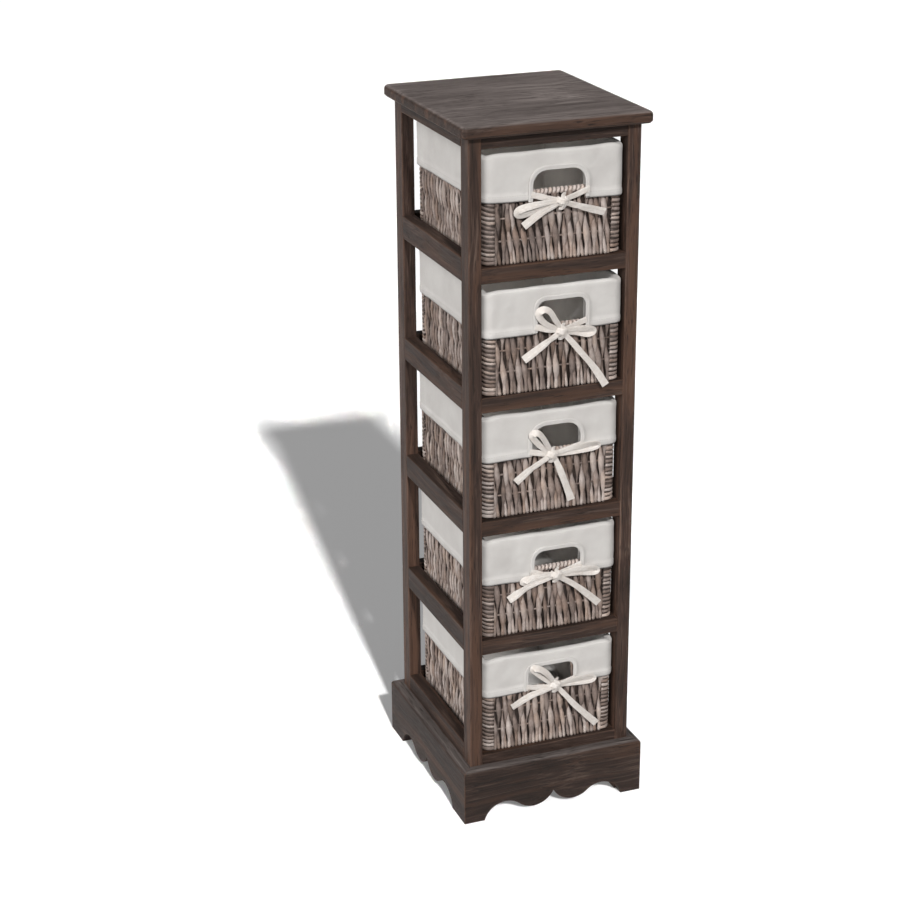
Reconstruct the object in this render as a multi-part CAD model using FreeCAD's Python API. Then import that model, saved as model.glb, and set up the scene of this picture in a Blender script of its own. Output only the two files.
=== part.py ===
"""Five-tier wooden rack with pull-out woven baskets, each lined with cloth.

Millimetres, +Z up, front towards -Y, origin on the floor under the middle of the rack.
"""
import FreeCAD
import Part
import math
import os

Vector = FreeCAD.Vector
Box = FreeCAD.BoundBox
X_AXIS = Vector(1, 0, 0)
Y_AXIS = Vector(0, 1, 0)
Z_AXIS = Vector(0, 0, 1)
SIDES = (-1, 1)

# Frame
TOTAL_HEIGHT = 980.0
FRAME_WIDTH = 238.0
FRAME_DEPTH = 274.0
POST_WIDTH = 18.0
POST_DEPTH = 26.5
POST_EDGE_BEVEL = 1.2
TIER_COUNT = 5

# Top panel
TOP_THICKNESS = 16.0
TOP_OVERHANG = 12.5
TOP_CORNER_RADIUS = 8.0
TOP_UPPER_RADIUS = 6.0
TOP_LOWER_BEVEL = 3.0

# Rails and shelves
FRONT_RAIL_HEIGHT = 21.0
GUIDE_RAIL_HEIGHT = 32.0
TOP_RAIL_HEIGHT = 16.5
RAIL_THICKNESS = 17.0
RAIL_RECESS = 1.5
RAIL_EDGE_BEVEL = 0.8
TENON_THICKNESS = 8.0
TENON_SHOULDER = 4.0
TENON_END_WALL = 9.0
TENON_WEB = 2.5
JOINT_GAP = 0.1
SHELF_THICKNESS = 4.0
SHELF_LEDGE = 6.0
SHELF_GROOVE = 4.0
SHELF_SIDE_GAP = 0.3

# Plinth
PLINTH_HEIGHT = 80.0
PLINTH_THICKNESS = 15.0
PLINTH_TOP_RADIUS = 6.0
FIRST_SHELF_RISE = 13.5
SCALLOP_CUSP_HEIGHT = 27.0
SCALLOP_LOBE_X = 30.0
SCALLOP_LOBE_HEIGHT = 8.0
SCALLOP_ARCH_START_X = 52.0
SCALLOP_ARCH_TOP_X = 74.0
SCALLOP_ARCH_HEIGHT = 24.0
SCALLOP_FOOT_X = 104.0

# Baskets, measured over the liner
BASKET_SIDE_GAP = 1.2
BASKET_HEAD_GAP = 6.0
BASKET_FRONT_RECESS = 3.0
BASKET_BACK_GAP = 2.0
BASKET_REST_GAP = 0.3
BASKET_TAPER = 2.5
BASKET_CORNER_RADIUS = 13.0
BASKET_FOOT_BEVEL = 6.0
WEAVE_THICKNESS = 7.0

# Upright strands of the weave, and the gaps where every second one dips under a wire
STRAND_PITCH = 7.0
FIRST_WIRE_HEIGHT = 31.0
WIRE_SPACING = 29.5
SHOWN_WIRES = 2
STRAND_GAP_WIDTH = 6.0
STRAND_GAP_HEIGHT = 26.0
STRAND_GAP_DEPTH = 3.4

# How far each basket is pushed in, and its handle hole is set to the right, lowest basket first
BASKET_PUSH = (1.0, 1.0, 2.0, -4.0, -1.0)
HANDLE_SHIFT = (2.0, 10.0, 7.0, 10.0, 6.0)

# Handle hole, liner and bow
HOLE_WIDTH = 78.0
HOLE_HEIGHT = 35.0
HOLE_BELOW_RIM = 23.0
HOLE_CORNER_RADIUS = 16.0
LINER_THICKNESS = 1.5
LINER_GAP = 0.3
LINER_FLAP = 67.0
LINER_HOLE_MARGIN = 2.5
TAPE_WIDTH = 8.0
TAPE_THICKNESS = 1.2
BOW_KNOT_WIDTH = 12.0
BOW_KNOT_THICKNESS = 6.0
BOW_LOOP_LENGTH = 30.0
BOW_LOOP_DROP = 6.0
BOW_TAIL_REACH = 38.0
BOW_TAIL_DROP = 30.0
BOW_RISE = 5.0

# Sizes that follow from the ones above
BAY_HALF_WIDTH = FRAME_WIDTH / 2 - POST_WIDTH
BAY_HALF_DEPTH = FRAME_DEPTH / 2 - POST_DEPTH
TOP_UNDERSIDE = TOTAL_HEIGHT - TOP_THICKNESS
TOP_RAIL_BOTTOM = TOP_UNDERSIDE - TOP_RAIL_HEIGHT
FIRST_SHELF_TOP = PLINTH_HEIGHT + FIRST_SHELF_RISE
TIER_PITCH = (TOP_RAIL_BOTTOM + FRONT_RAIL_HEIGHT - FIRST_SHELF_TOP) / TIER_COUNT
RAIL_MIDDLE_Y = FRAME_DEPTH / 2 - RAIL_RECESS - RAIL_THICKNESS / 2
RAIL_INNER_Y = RAIL_MIDDLE_Y - RAIL_THICKNESS / 2
GUIDE_MIDDLE_X = FRAME_WIDTH / 2 - POST_WIDTH / 2
CROSS_TENON_LENGTH = POST_WIDTH - TENON_END_WALL
GUIDE_TENON_LENGTH = RAIL_MIDDLE_Y - TENON_THICKNESS / 2 - TENON_WEB - BAY_HALF_DEPTH
PLINTH_HALF_WIDTH = FRAME_WIDTH / 2 + PLINTH_THICKNESS
PLINTH_HALF_DEPTH = FRAME_DEPTH / 2 + PLINTH_THICKNESS
BASKET_FRONT = -FRAME_DEPTH / 2 + BASKET_FRONT_RECESS
BASKET_BACK = RAIL_INNER_Y - BASKET_BACK_GAP
BASKET_MIDDLE = (BASKET_FRONT + BASKET_BACK) / 2
LINER_STAND = LINER_GAP + LINER_THICKNESS
WEAVE_HALF_WIDTH = BAY_HALF_WIDTH - BASKET_SIDE_GAP - LINER_STAND
WEAVE_HALF_DEPTH = (BASKET_BACK - BASKET_FRONT) / 2 - LINER_STAND
BASKET_HEIGHT = TIER_PITCH - FRONT_RAIL_HEIGHT - BASKET_HEAD_GAP
WEAVE_HEIGHT = BASKET_HEIGHT - LINER_STAND
FLAP_LOW = BASKET_HEIGHT - LINER_FLAP
HOLE_HIGH = BASKET_HEIGHT - HOLE_BELOW_RIM
HOLE_LOW = HOLE_HIGH - HOLE_HEIGHT
OVERCUT = 1.0


def block(box):
    """A rectangular solid that fills a box."""
    return Part.makeBox(box.XLength, box.YLength, box.ZLength, Vector(box.XMin, box.YMin, box.ZMin))


def grown(box, gap):
    """A copy of a box, larger by a gap on every side."""
    larger = Box(box)
    larger.enlarge(gap)
    return larger


def single(shape):
    """The one solid of a finished piece, with its split faces joined."""
    return shape.removeSplitter().Solids[0]


def edges_along(shape, axis):
    """The straight edges of a shape that run along an axis."""
    found = []
    for edge in shape.Edges:
        run = edge.lastVertex().Point - edge.firstVertex().Point
        if abs(run.dot(axis)) > 0.999 * edge.Length:
            found.append(edge)
    return found


def edges_at_height(shape, height):
    """The edges of a shape that lie flat at one height."""
    flat = []
    for edge in shape.Edges:
        if abs(edge.BoundBox.ZMin - height) < JOINT_GAP and abs(edge.BoundBox.ZMax - height) < JOINT_GAP:
            flat.append(edge)
    return flat


def rail_bottom(level):
    """Underside of the rails of a tier, counted from 0, or of the top rails."""
    if level == TIER_COUNT:
        return TOP_RAIL_BOTTOM
    return FIRST_SHELF_TOP + level * TIER_PITCH - FRONT_RAIL_HEIGHT


def cross_rail_box(side, level, height):
    """The space of a front (side -1) or back (side 1) rail between its posts."""
    middle = side * RAIL_MIDDLE_Y
    low = rail_bottom(level)
    half = RAIL_THICKNESS / 2
    return Box(-BAY_HALF_WIDTH, middle - half, low, BAY_HALF_WIDTH, middle + half, low + height)


def guide_rail_box(side, level, height):
    """The space of a left (side -1) or right (side 1) rail between its posts."""
    middle = side * GUIDE_MIDDLE_X
    low = rail_bottom(level)
    half = POST_WIDTH / 2
    return Box(middle - half, -BAY_HALF_DEPTH, low, middle + half, BAY_HALF_DEPTH, low + height)


def cross_tenon_box(rail):
    """The bar that ends in a front or back rail's two tenons."""
    low = rail.ZMin + TENON_SHOULDER
    high = rail.ZMax - TENON_SHOULDER
    middle = rail.Center.y
    reach = BAY_HALF_WIDTH + CROSS_TENON_LENGTH
    half = TENON_THICKNESS / 2
    return Box(-reach, middle - half, low, reach, middle + half, high)


def guide_tenon_box(rail):
    """The bar that ends in a side rail's two tenons."""
    low = rail.ZMin + TENON_SHOULDER
    high = rail.ZMax - TENON_SHOULDER
    middle = rail.Center.x
    reach = BAY_HALF_DEPTH + GUIDE_TENON_LENGTH
    half = TENON_THICKNESS / 2
    return Box(middle - half, -reach, low, middle + half, reach, high)


def rail_height(level, height):
    """A tier rail's own height, or the height that all top rails share."""
    return TOP_RAIL_HEIGHT if level == TIER_COUNT else height


def eased_bar(box, axis):
    """A rail's bar with its four long edges eased."""
    bar = block(box)
    return bar.makeChamfer(RAIL_EDGE_BEVEL, edges_along(bar, axis))


def front_rail(level):
    """A low rail under a basket, with a ledge for the shelf along its inner edge."""
    space = cross_rail_box(-1, level, rail_height(level, FRONT_RAIL_HEIGHT))
    rail = eased_bar(space, X_AXIS).fuse(block(cross_tenon_box(space)))
    if level < TIER_COUNT:
        ledge = Box(space.XMin, space.YMax - SHELF_LEDGE, space.ZMax - SHELF_THICKNESS,
                    space.XMax, space.YMax + OVERCUT, space.ZMax + OVERCUT)
        rail = rail.cut(block(ledge))
    return single(rail)


def back_rail(level):
    """A tall rail that stops a basket, with a groove for the shelf in its inner face."""
    space = cross_rail_box(1, level, rail_height(level, GUIDE_RAIL_HEIGHT))
    rail = eased_bar(space, X_AXIS).fuse(block(cross_tenon_box(space)))
    if level < TIER_COUNT:
        shelf_top = space.ZMin + FRONT_RAIL_HEIGHT
        groove = Box(space.XMin, space.YMin - OVERCUT, shelf_top - SHELF_THICKNESS,
                     space.XMax, space.YMin + SHELF_GROOVE, shelf_top + JOINT_GAP)
        rail = rail.cut(block(groove))
    return single(rail)


def guide_rail(side, level):
    """A side rail, flush with its posts."""
    space = guide_rail_box(side, level, rail_height(level, GUIDE_RAIL_HEIGHT))
    return single(eased_bar(space, Y_AXIS).fuse(block(guide_tenon_box(space))))


def shelf(level):
    """A thin board that lies on the front rail's ledge and in the back rail's groove."""
    top = rail_bottom(level) + FRONT_RAIL_HEIGHT
    half_width = BAY_HALF_WIDTH - SHELF_SIDE_GAP
    front = -RAIL_INNER_Y - SHELF_LEDGE + JOINT_GAP
    back = RAIL_INNER_Y + SHELF_GROOVE - JOINT_GAP
    return block(Box(-half_width, front, top - SHELF_THICKNESS, half_width, back, top))


def post(side_x, side_y):
    """A full-height post with a mortise for every rail that meets it."""
    outer_x = side_x * FRAME_WIDTH / 2
    outer_y = side_y * FRAME_DEPTH / 2
    space = Box(min(outer_x, side_x * BAY_HALF_WIDTH), min(outer_y, side_y * BAY_HALF_DEPTH), 0,
                max(outer_x, side_x * BAY_HALF_WIDTH), max(outer_y, side_y * BAY_HALF_DEPTH), TOP_UNDERSIDE)
    solid = block(space)
    solid = solid.makeChamfer(POST_EDGE_BEVEL, edges_along(solid, Z_AXIS))
    cross_height = FRONT_RAIL_HEIGHT if side_y < 0 else GUIDE_RAIL_HEIGHT
    for level in range(TIER_COUNT + 1):
        cross = cross_rail_box(side_y, level, rail_height(level, cross_height))
        guide = guide_rail_box(side_x, level, rail_height(level, GUIDE_RAIL_HEIGHT))
        solid = solid.cut(block(grown(cross_tenon_box(cross), JOINT_GAP)))
        solid = solid.cut(block(grown(guide_tenon_box(guide), JOINT_GAP)))
    return single(solid)


def top_panel():
    """The top board, with round corners and a round upper edge."""
    half_width = FRAME_WIDTH / 2 + TOP_OVERHANG
    half_depth = FRAME_DEPTH / 2 + TOP_OVERHANG
    panel = block(Box(-half_width, -half_depth, TOP_UNDERSIDE, half_width, half_depth, TOTAL_HEIGHT))
    panel = panel.makeFillet(TOP_CORNER_RADIUS, edges_along(panel, Z_AXIS))
    panel = panel.makeFillet(TOP_UPPER_RADIUS, edges_at_height(panel, TOTAL_HEIGHT))
    return panel.makeChamfer(TOP_LOWER_BEVEL, edges_at_height(panel, TOP_UNDERSIDE))


def arc_through(first, middle, last):
    """An arc edge through three points."""
    return Part.Arc(first, middle, last).toShape()


def scallop_half(side):
    """Half of the plinth's wavy lower edge, from the middle cusp to the foot, in the XZ plane."""
    # The lobe is a circle through the cusp whose lowest point is set; the arch follows it.
    rise = SCALLOP_CUSP_HEIGHT - SCALLOP_LOBE_HEIGHT
    radius = (SCALLOP_LOBE_X ** 2 + rise ** 2) / (2 * rise)
    step = SCALLOP_ARCH_START_X - SCALLOP_LOBE_X
    start_height = SCALLOP_LOBE_HEIGHT + radius - (radius ** 2 - step ** 2) ** 0.5
    cusp = Vector(0, 0, SCALLOP_CUSP_HEIGHT)
    lobe = Vector(side * SCALLOP_LOBE_X, 0, SCALLOP_LOBE_HEIGHT)
    start = Vector(side * SCALLOP_ARCH_START_X, 0, start_height)
    arch = Vector(side * SCALLOP_ARCH_TOP_X, 0, SCALLOP_ARCH_HEIGHT)
    foot = Vector(side * SCALLOP_FOOT_X, 0, 0)
    return [arc_through(cusp, lobe, start), arc_through(start, arch, foot)]


def scallop_cutter(half_run):
    """A solid that cuts the wavy edge through two opposite boards, along Y."""
    left = Vector(-SCALLOP_FOOT_X, 0, 0)
    right = Vector(SCALLOP_FOOT_X, 0, 0)
    low = Z_AXIS * -OVERCUT
    edges = scallop_half(-1) + scallop_half(1)
    for start, end in ((left, left + low), (left + low, right + low), (right + low, right)):
        edges.append(Part.makeLine(start, end))
    outline = Part.Wire(Part.__sortEdges__(edges))
    reach = half_run + OVERCUT
    face = Part.Face(outline)
    face.translate(Y_AXIS * -reach)
    return face.extrude(Y_AXIS * 2 * reach)


def plinth_ring():
    """The whole plinth before its boards are parted at the mitres."""
    half_width = PLINTH_HALF_WIDTH
    half_depth = PLINTH_HALF_DEPTH
    outer = block(Box(-half_width, -half_depth, 0, half_width, half_depth, PLINTH_HEIGHT))
    outer = outer.makeFillet(PLINTH_TOP_RADIUS, edges_at_height(outer, PLINTH_HEIGHT))
    inside = Box(-FRAME_WIDTH / 2, -FRAME_DEPTH / 2, -OVERCUT, FRAME_WIDTH / 2, FRAME_DEPTH / 2, TOTAL_HEIGHT)
    ring = outer.cut(block(inside))
    ring = ring.cut(scallop_cutter(half_depth))
    across = scallop_cutter(half_width)
    across.rotate(Vector(0, 0, 0), Z_AXIS, 90)
    return ring.cut(across)


def plinth_board(ring, along_x, side):
    """One mitred board of the plinth: the part of the ring between two mitre planes."""
    inner_x = FRAME_WIDTH / 2 - OVERCUT
    inner_y = FRAME_DEPTH / 2 - OVERCUT
    outer_x = PLINTH_HALF_WIDTH + OVERCUT
    outer_y = PLINTH_HALF_DEPTH + OVERCUT
    corners = [(-outer_x, outer_y), (outer_x, outer_y), (inner_x, inner_y), (-inner_x, inner_y)]
    if not along_x:
        corners = [(outer_x, -outer_y), (outer_x, outer_y), (inner_x, inner_y), (inner_x, -inner_y)]
    points = [Vector(side * x, side * y, -OVERCUT) for x, y in corners]
    wedge = Part.Face(Part.makePolygon(points + points[:1])).extrude(Z_AXIS * (PLINTH_HEIGHT + 2 * OVERCUT))
    return single(ring.common(wedge))


def leaning_body(half_x, half_y, radius, low, high, spread):
    """A body with round corners whose walls lean out by a spread from its foot to its top."""
    rise = high - low
    corners = []
    for turn, (side_x, side_y) in enumerate(((1, 1), (-1, 1), (-1, -1), (1, -1))):
        centre = Vector(side_x * (half_x - radius), side_y * (half_y - radius), low)
        arc = Part.makeCircle(radius, centre, Z_AXIS, 90 * turn, 90 * turn + 90)
        corners.append((arc, Vector(side_x * spread, side_y * spread, rise)))
    faces = [arc.extrude(lean) for arc, lean in corners]
    foot = [arc for arc, lean in corners]
    top = [arc.translated(lean) for arc, lean in corners]
    for index in range(len(corners)):
        following = (index + 1) % len(corners)
        low_side = Part.makeLine(foot[index].lastVertex().Point, foot[following].firstVertex().Point)
        high_side = Part.makeLine(top[index].lastVertex().Point, top[following].firstVertex().Point)
        ends = [low_side.Vertexes[0], low_side.Vertexes[1], high_side.Vertexes[1], high_side.Vertexes[0]]
        points = [end.Point for end in ends]
        faces.append(Part.Face(Part.makePolygon(points + points[:1])))
        foot.append(low_side)
        top.append(high_side)
    for outline in (foot, top):
        faces.append(Part.Face(Part.Wire(Part.__sortEdges__(outline))))
    shell = Part.makeShell(faces)
    shell.sewShape()
    body = Part.makeSolid(shell)
    if body.Volume < 0:
        body.reverse()
    return body


def basket_form(offset, low, high):
    """The basket's tapered body, moved out by an offset, between two heights."""
    slope = BASKET_TAPER / WEAVE_HEIGHT
    inset = slope * (WEAVE_HEIGHT - low) - offset
    return leaning_body(WEAVE_HALF_WIDTH - inset, WEAVE_HALF_DEPTH - inset, BASKET_CORNER_RADIUS + offset,
                        low, high, slope * (high - low))


def arched_cutter(width, low, high, shift):
    """An upright opening with a flat foot and round top corners, through the front wall only."""
    half = width / 2
    radius = min(HOLE_CORNER_RADIUS, half, high - low)
    lean = radius * (1 - 0.5 ** 0.5)
    left_foot = Vector(-half, 0, low)
    left_spring = Vector(-half, 0, high - radius)
    left_crown = Vector(radius - half, 0, high)
    right_crown = Vector(half - radius, 0, high)
    right_spring = Vector(half, 0, high - radius)
    right_foot = Vector(half, 0, low)
    edges = [
        Part.makeLine(right_foot, left_foot),
        Part.makeLine(left_foot, left_spring),
        arc_through(left_spring, Vector(lean - half, 0, high - lean), left_crown),
        Part.makeLine(left_crown, right_crown),
        arc_through(right_crown, Vector(half - lean, 0, high - lean), right_spring),
        Part.makeLine(right_spring, right_foot),
    ]
    face = Part.Face(Part.Wire(edges))
    face.translate(Vector(shift, -WEAVE_HALF_DEPTH - BASKET_CORNER_RADIUS, 0))
    return face.extrude(Y_AXIS * WEAVE_HALF_DEPTH)


def strand_gap():
    """A four-sided hollow in a wall that faces -Y, about the point where its middle meets the wall."""
    reach = 1 + OVERCUT / STRAND_GAP_DEPTH
    half_width = STRAND_GAP_WIDTH / 2 * reach
    half_height = STRAND_GAP_HEIGHT / 2 * reach
    corners = ((half_width, 0), (0, half_height), (-half_width, 0), (0, -half_height))
    rim = [Vector(x, -OVERCUT, z) for x, z in corners]
    deepest = Y_AXIS * STRAND_GAP_DEPTH
    outlines = [[rim[index - 1], rim[index], deepest] for index in range(len(rim))] + [rim]
    faces = [Part.Face(Part.makePolygon(points + points[:1])) for points in outlines]
    hollow = Part.makeSolid(Part.makeShell(faces))
    if hollow.Volume < 0:
        hollow.reverse()
    return hollow


def strand_gaps():
    """The gaps of all four walls, where each wire has every second strand in front of it."""
    slope = BASKET_TAPER / WEAVE_HEIGHT
    gap = strand_gap()
    gap.rotate(Vector(0, 0, 0), X_AXIS, math.degrees(math.atan(slope)))
    gaps = []
    for quarter in range(4):
        halves = (WEAVE_HALF_WIDTH, WEAVE_HALF_DEPTH)
        half_run, half_depth = halves if quarter % 2 == 0 else reversed(halves)
        half_run -= BASKET_TAPER + BASKET_CORNER_RADIUS
        strands = round(2 * half_run / STRAND_PITCH)
        for wire in range(SHOWN_WIRES):
            height = FIRST_WIRE_HEIGHT + wire * WIRE_SPACING
            face = half_depth - slope * (WEAVE_HEIGHT - height)
            for strand in range(1 - wire, strands, 2):
                across = 2 * half_run * (strand + 0.5) / strands - half_run
                placed = gap.translated(Vector(across, -face, height))
                placed.rotate(Vector(0, 0, 0), Z_AXIS, 90 * quarter)
                gaps.append(placed)
    return gaps


def woven_shell():
    """The woven floor and walls, before the handle hole is cut."""
    inset = BASKET_TAPER + BASKET_FOOT_BEVEL
    spread = BASKET_FOOT_BEVEL * (1 + BASKET_TAPER / WEAVE_HEIGHT)
    foot = leaning_body(WEAVE_HALF_WIDTH - inset, WEAVE_HALF_DEPTH - inset, BASKET_CORNER_RADIUS,
                        0, BASKET_FOOT_BEVEL, spread)
    body = basket_form(0, BASKET_FOOT_BEVEL, WEAVE_HEIGHT).fuse(foot)
    body = body.cut(basket_form(-WEAVE_THICKNESS, WEAVE_THICKNESS, WEAVE_HEIGHT + OVERCUT))
    return single(body).cut(strand_gaps())


def weave(shell, shift):
    """A basket's own woven shell, with the handle hole in its front wall."""
    return single(shell.cut(arched_cutter(HOLE_WIDTH, HOLE_LOW, HOLE_HIGH, shift)))


def liner(shift):
    """The cloth liner: a bag inside, a fold over the rim and a flap outside with an arched cut-out."""
    inner = -WEAVE_THICKNESS - LINER_GAP
    bag_floor = WEAVE_THICKNESS + LINER_GAP
    fold = BASKET_HEIGHT - LINER_THICKNESS
    bag = basket_form(inner, bag_floor, BASKET_HEIGHT)
    flap = basket_form(LINER_STAND, FLAP_LOW, BASKET_HEIGHT)
    wall_room = basket_form(LINER_GAP, FLAP_LOW - OVERCUT, fold)
    cloth = flap.cut(wall_room).cut(bag).fuse(bag)
    hollow = basket_form(inner - LINER_THICKNESS, bag_floor + LINER_THICKNESS, BASKET_HEIGHT + OVERCUT)
    cloth = cloth.cut(hollow)
    width = HOLE_WIDTH - 2 * LINER_HOLE_MARGIN
    bag_hole = arched_cutter(width, HOLE_LOW + LINER_HOLE_MARGIN, HOLE_HIGH - LINER_HOLE_MARGIN, shift)
    cut_out = arched_cutter(width, FLAP_LOW - OVERCUT, HOLE_HIGH - LINER_HOLE_MARGIN, shift)
    cut_out = cut_out.cut(basket_form(LINER_GAP / 2, FLAP_LOW - 2 * OVERCUT, BASKET_HEIGHT))
    return single(cloth.cut(bag_hole).cut(cut_out))


def tape(start, end, width, thickness, face):
    """A flat strip of tape from one point to another in the XZ plane, its back against a face at y."""
    run = (end - start).normalize()
    across = run.cross(Y_AXIS) * (width / 2)
    corners = [start - across, end - across, end + across, start + across]
    strip = Part.Face(Part.makePolygon(corners + corners[:1]))
    strip.translate(Y_AXIS * face)
    return strip.extrude(Y_AXIS * -thickness)


def bow(shift):
    """The tied tape under the handle hole: two ties, a knot, two loops and two tails."""
    height = FLAP_LOW + BOW_RISE
    lean = BASKET_TAPER * (1 - (height + TAPE_WIDTH / 2) / WEAVE_HEIGHT)
    face = lean - WEAVE_HALF_DEPTH - LINER_STAND - LINER_GAP
    knot_low = height - BOW_KNOT_WIDTH / 2
    knot = Part.makeBox(BOW_KNOT_WIDTH, BOW_KNOT_THICKNESS, BOW_KNOT_WIDTH,
                        Vector(-BOW_KNOT_WIDTH / 2, face - BOW_KNOT_THICKNESS, knot_low))
    knot = knot.makeChamfer(BOW_KNOT_THICKNESS / 3, edges_along(knot, Y_AXIS))
    centre = Vector(0, 0, height)
    for side in SIDES:
        tie = Vector(side * (HOLE_WIDTH + TAPE_WIDTH) / 2, 0, height)
        loop = Vector(side * BOW_LOOP_LENGTH, 0, height - BOW_LOOP_DROP)
        tail = Vector(side * BOW_TAIL_REACH, 0, height - BOW_TAIL_DROP)
        loop_face = face - TAPE_THICKNESS
        knot = knot.fuse(tape(centre, tie, TAPE_WIDTH, TAPE_THICKNESS, face))
        knot = knot.fuse(tape(centre, loop, TAPE_WIDTH, 2 * TAPE_THICKNESS, loop_face))
        knot = knot.fuse(tape(centre, tail, TAPE_WIDTH, TAPE_THICKNESS, face))
    knot.translate(X_AXIS * shift)
    return single(knot)


def basket_pieces(tier, shell):
    """The named pieces of one basket, in its place on its shelf."""
    index = tier - 1
    shift = HANDLE_SHIFT[index]
    shelf_top = rail_bottom(index) + FRONT_RAIL_HEIGHT
    place = Vector(0, BASKET_MIDDLE + BASKET_PUSH[index], shelf_top + BASKET_REST_GAP)
    pieces = {"weave": weave(shell, shift), "liner": liner(shift), "bow": bow(shift)}
    return {f"basket_{tier}_{name}": shape.translated(place) for name, shape in pieces.items()}


def frame_pieces():
    """The named pieces of the wooden frame."""
    pieces = {"top_panel": top_panel()}
    for side_x, name_x in zip(SIDES, ("left", "right")):
        for side_y, name_y in zip(SIDES, ("front", "back")):
            pieces[f"post_{name_y}_{name_x}"] = post(side_x, side_y)
    for level in range(TIER_COUNT + 1):
        tier = "top" if level == TIER_COUNT else str(level + 1)
        pieces[f"front_rail_{tier}"] = front_rail(level)
        pieces[f"back_rail_{tier}"] = back_rail(level)
        pieces[f"left_rail_{tier}"] = guide_rail(-1, level)
        pieces[f"right_rail_{tier}"] = guide_rail(1, level)
    for level in range(TIER_COUNT):
        pieces[f"shelf_{level + 1}"] = shelf(level)
    ring = plinth_ring()
    for side, name in zip(SIDES, ("front", "back")):
        pieces[f"plinth_{name}"] = plinth_board(ring, True, side)
    for side, name in zip(SIDES, ("left", "right")):
        pieces[f"plinth_{name}"] = plinth_board(ring, False, side)
    return pieces


def main():
    """Build every piece and write each to its own file."""
    os.makedirs("parts", exist_ok=True)
    pieces = frame_pieces()
    shell = woven_shell()
    for tier in range(1, TIER_COUNT + 1):
        pieces.update(basket_pieces(tier, shell))
    for name, shape in pieces.items():
        shape.exportStep(f"parts/{name}.step")


main()
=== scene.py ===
"""Looks of the basket shelf: stained wood on the rack, woven baskets, cloth liners and tape bows."""
import math
import random

import bmesh
import bpy
from bpy.props import FloatProperty, FloatVectorProperty, PointerProperty
from mathutils import Matrix, Vector, noise


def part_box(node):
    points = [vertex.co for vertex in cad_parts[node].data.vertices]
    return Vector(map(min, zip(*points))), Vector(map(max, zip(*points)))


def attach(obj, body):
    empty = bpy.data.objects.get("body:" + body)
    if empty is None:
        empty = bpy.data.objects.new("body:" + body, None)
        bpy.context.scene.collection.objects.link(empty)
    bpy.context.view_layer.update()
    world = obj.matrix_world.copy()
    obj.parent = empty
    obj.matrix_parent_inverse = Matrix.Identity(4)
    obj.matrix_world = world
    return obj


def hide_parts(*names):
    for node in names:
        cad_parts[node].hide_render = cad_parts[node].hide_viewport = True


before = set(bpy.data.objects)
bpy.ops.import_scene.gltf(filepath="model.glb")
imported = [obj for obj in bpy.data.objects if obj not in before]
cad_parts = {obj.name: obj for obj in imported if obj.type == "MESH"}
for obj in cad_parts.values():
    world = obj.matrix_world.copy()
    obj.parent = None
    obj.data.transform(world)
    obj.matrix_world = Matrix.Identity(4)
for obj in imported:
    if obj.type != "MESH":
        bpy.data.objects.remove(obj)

bl_info = {
    "name": "Basket Shelf",
    "version": (1, 0, 0),
    "blender": (4, 5, 0),
    "location": "View3D > Sidebar > Basket Shelf",
    "description": "Dresses a five-tier rack with stained wood, woven baskets, cloth liners and tape bows",
    "category": "Object",
}

MM = 0.001
TIERS = (1, 2, 3, 4, 5)

# Sides of a strand's section, and steps of a quarter circle
STRAND_SIDES = 6
ARC_STEPS = 6

# How near two lengths count as the same, and how near a point counts as lying on a cut, in metres
SAME_LENGTH = 1e-4
ON_CUT = 1e-6

# Edges of the tape and the binding that turn by more than this stay sharp
SHARP_EDGE = math.radians(50)

# A Mix node's inputs and output for colours
MIX_FIRST = 6
MIX_SECOND = 7
MIX_RESULT = 2

# Wood: how far its grain is drawn out and bent, and the colours of dust and a painted sheen on faces that
# look up
GRAIN_SQUEEZE = 0.035
GRAIN_BEND = 0.016
DUST_SHEEN_GREY = (0.150, 0.125, 0.116)
DUST_SHEEN_PALE = (0.270, 0.232, 0.215)

# Tints: the warmer parts of the husk, the soft shade in the cloth and in the tape, and the stitches
WARM_TINT = (1.0, 0.83, 0.68)
CLOTH_SHADE = (0.50, 0.47, 0.45)
TAPE_SHADE = (0.55, 0.47, 0.40)
STITCH_SHADE = (0.42, 0.40, 0.38)

# Stitches, in metres: how far their row lies under the hem's top, half its width,
# half the distance between two stitches and half the length of one
STITCH_DROP = 0.0012
STITCH_HALF_WIDTH = 0.0006
STITCH_HALF_PITCH = 0.0017
STITCH_HALF_LENGTH = 0.0012

# How far under the rim the strands end, hidden by the liner's fold, in metres
RIM_PLAY = 0.015

# Strands: how far they slip up or down in metres, the shares of a knob's height where it changes shape,
# the levels from one wire to the next, and how much painted shade darkens their backs
STRAND_SLIP = 0.0022
KNOB_LEVELS = (0.03, 0.2, 0.5, 0.8)
WIRE_LEVELS = 4
BACK_PAINTED_SHADE = 0.60

# Width of a strand as a share of its full width: halfway between two wires, what its swing adds,
# at the ends of its knob, and what the knob's bulge adds
SWELL_MIDDLE = 0.54
SWELL_SWING = 0.46
KNOB_ENDS = 0.44
KNOB_BULGE = 0.20

# How strands lean, in degrees: the most that neighbours lean together, and the mean and the spread of each
LEAN_TOGETHER = 5.0
LEAN_MEAN = -1.2
LEAN_SPREAD = 1.5

# How far a strand may stand beside its place, in metres
STRAND_PLAY = 0.0007

# What chance decides, each from its lowest to its highest value: tones, sizes as shares, slopes in degrees
WIRE_TONES = (0.3, 0.6)
HUSK_TONES = (0.25, 1.0)
FLOOR_TONES = (0.2, 0.8)
EDGE_TONES = (1.1, 1.6)
STRAND_SIZES = (0.78, 1.22)
TURN_SIZES = (0.9, 1.15)
TURN_SLOPES = (-15, -3)
EDGE_SLOPES = (18, 34)

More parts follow.
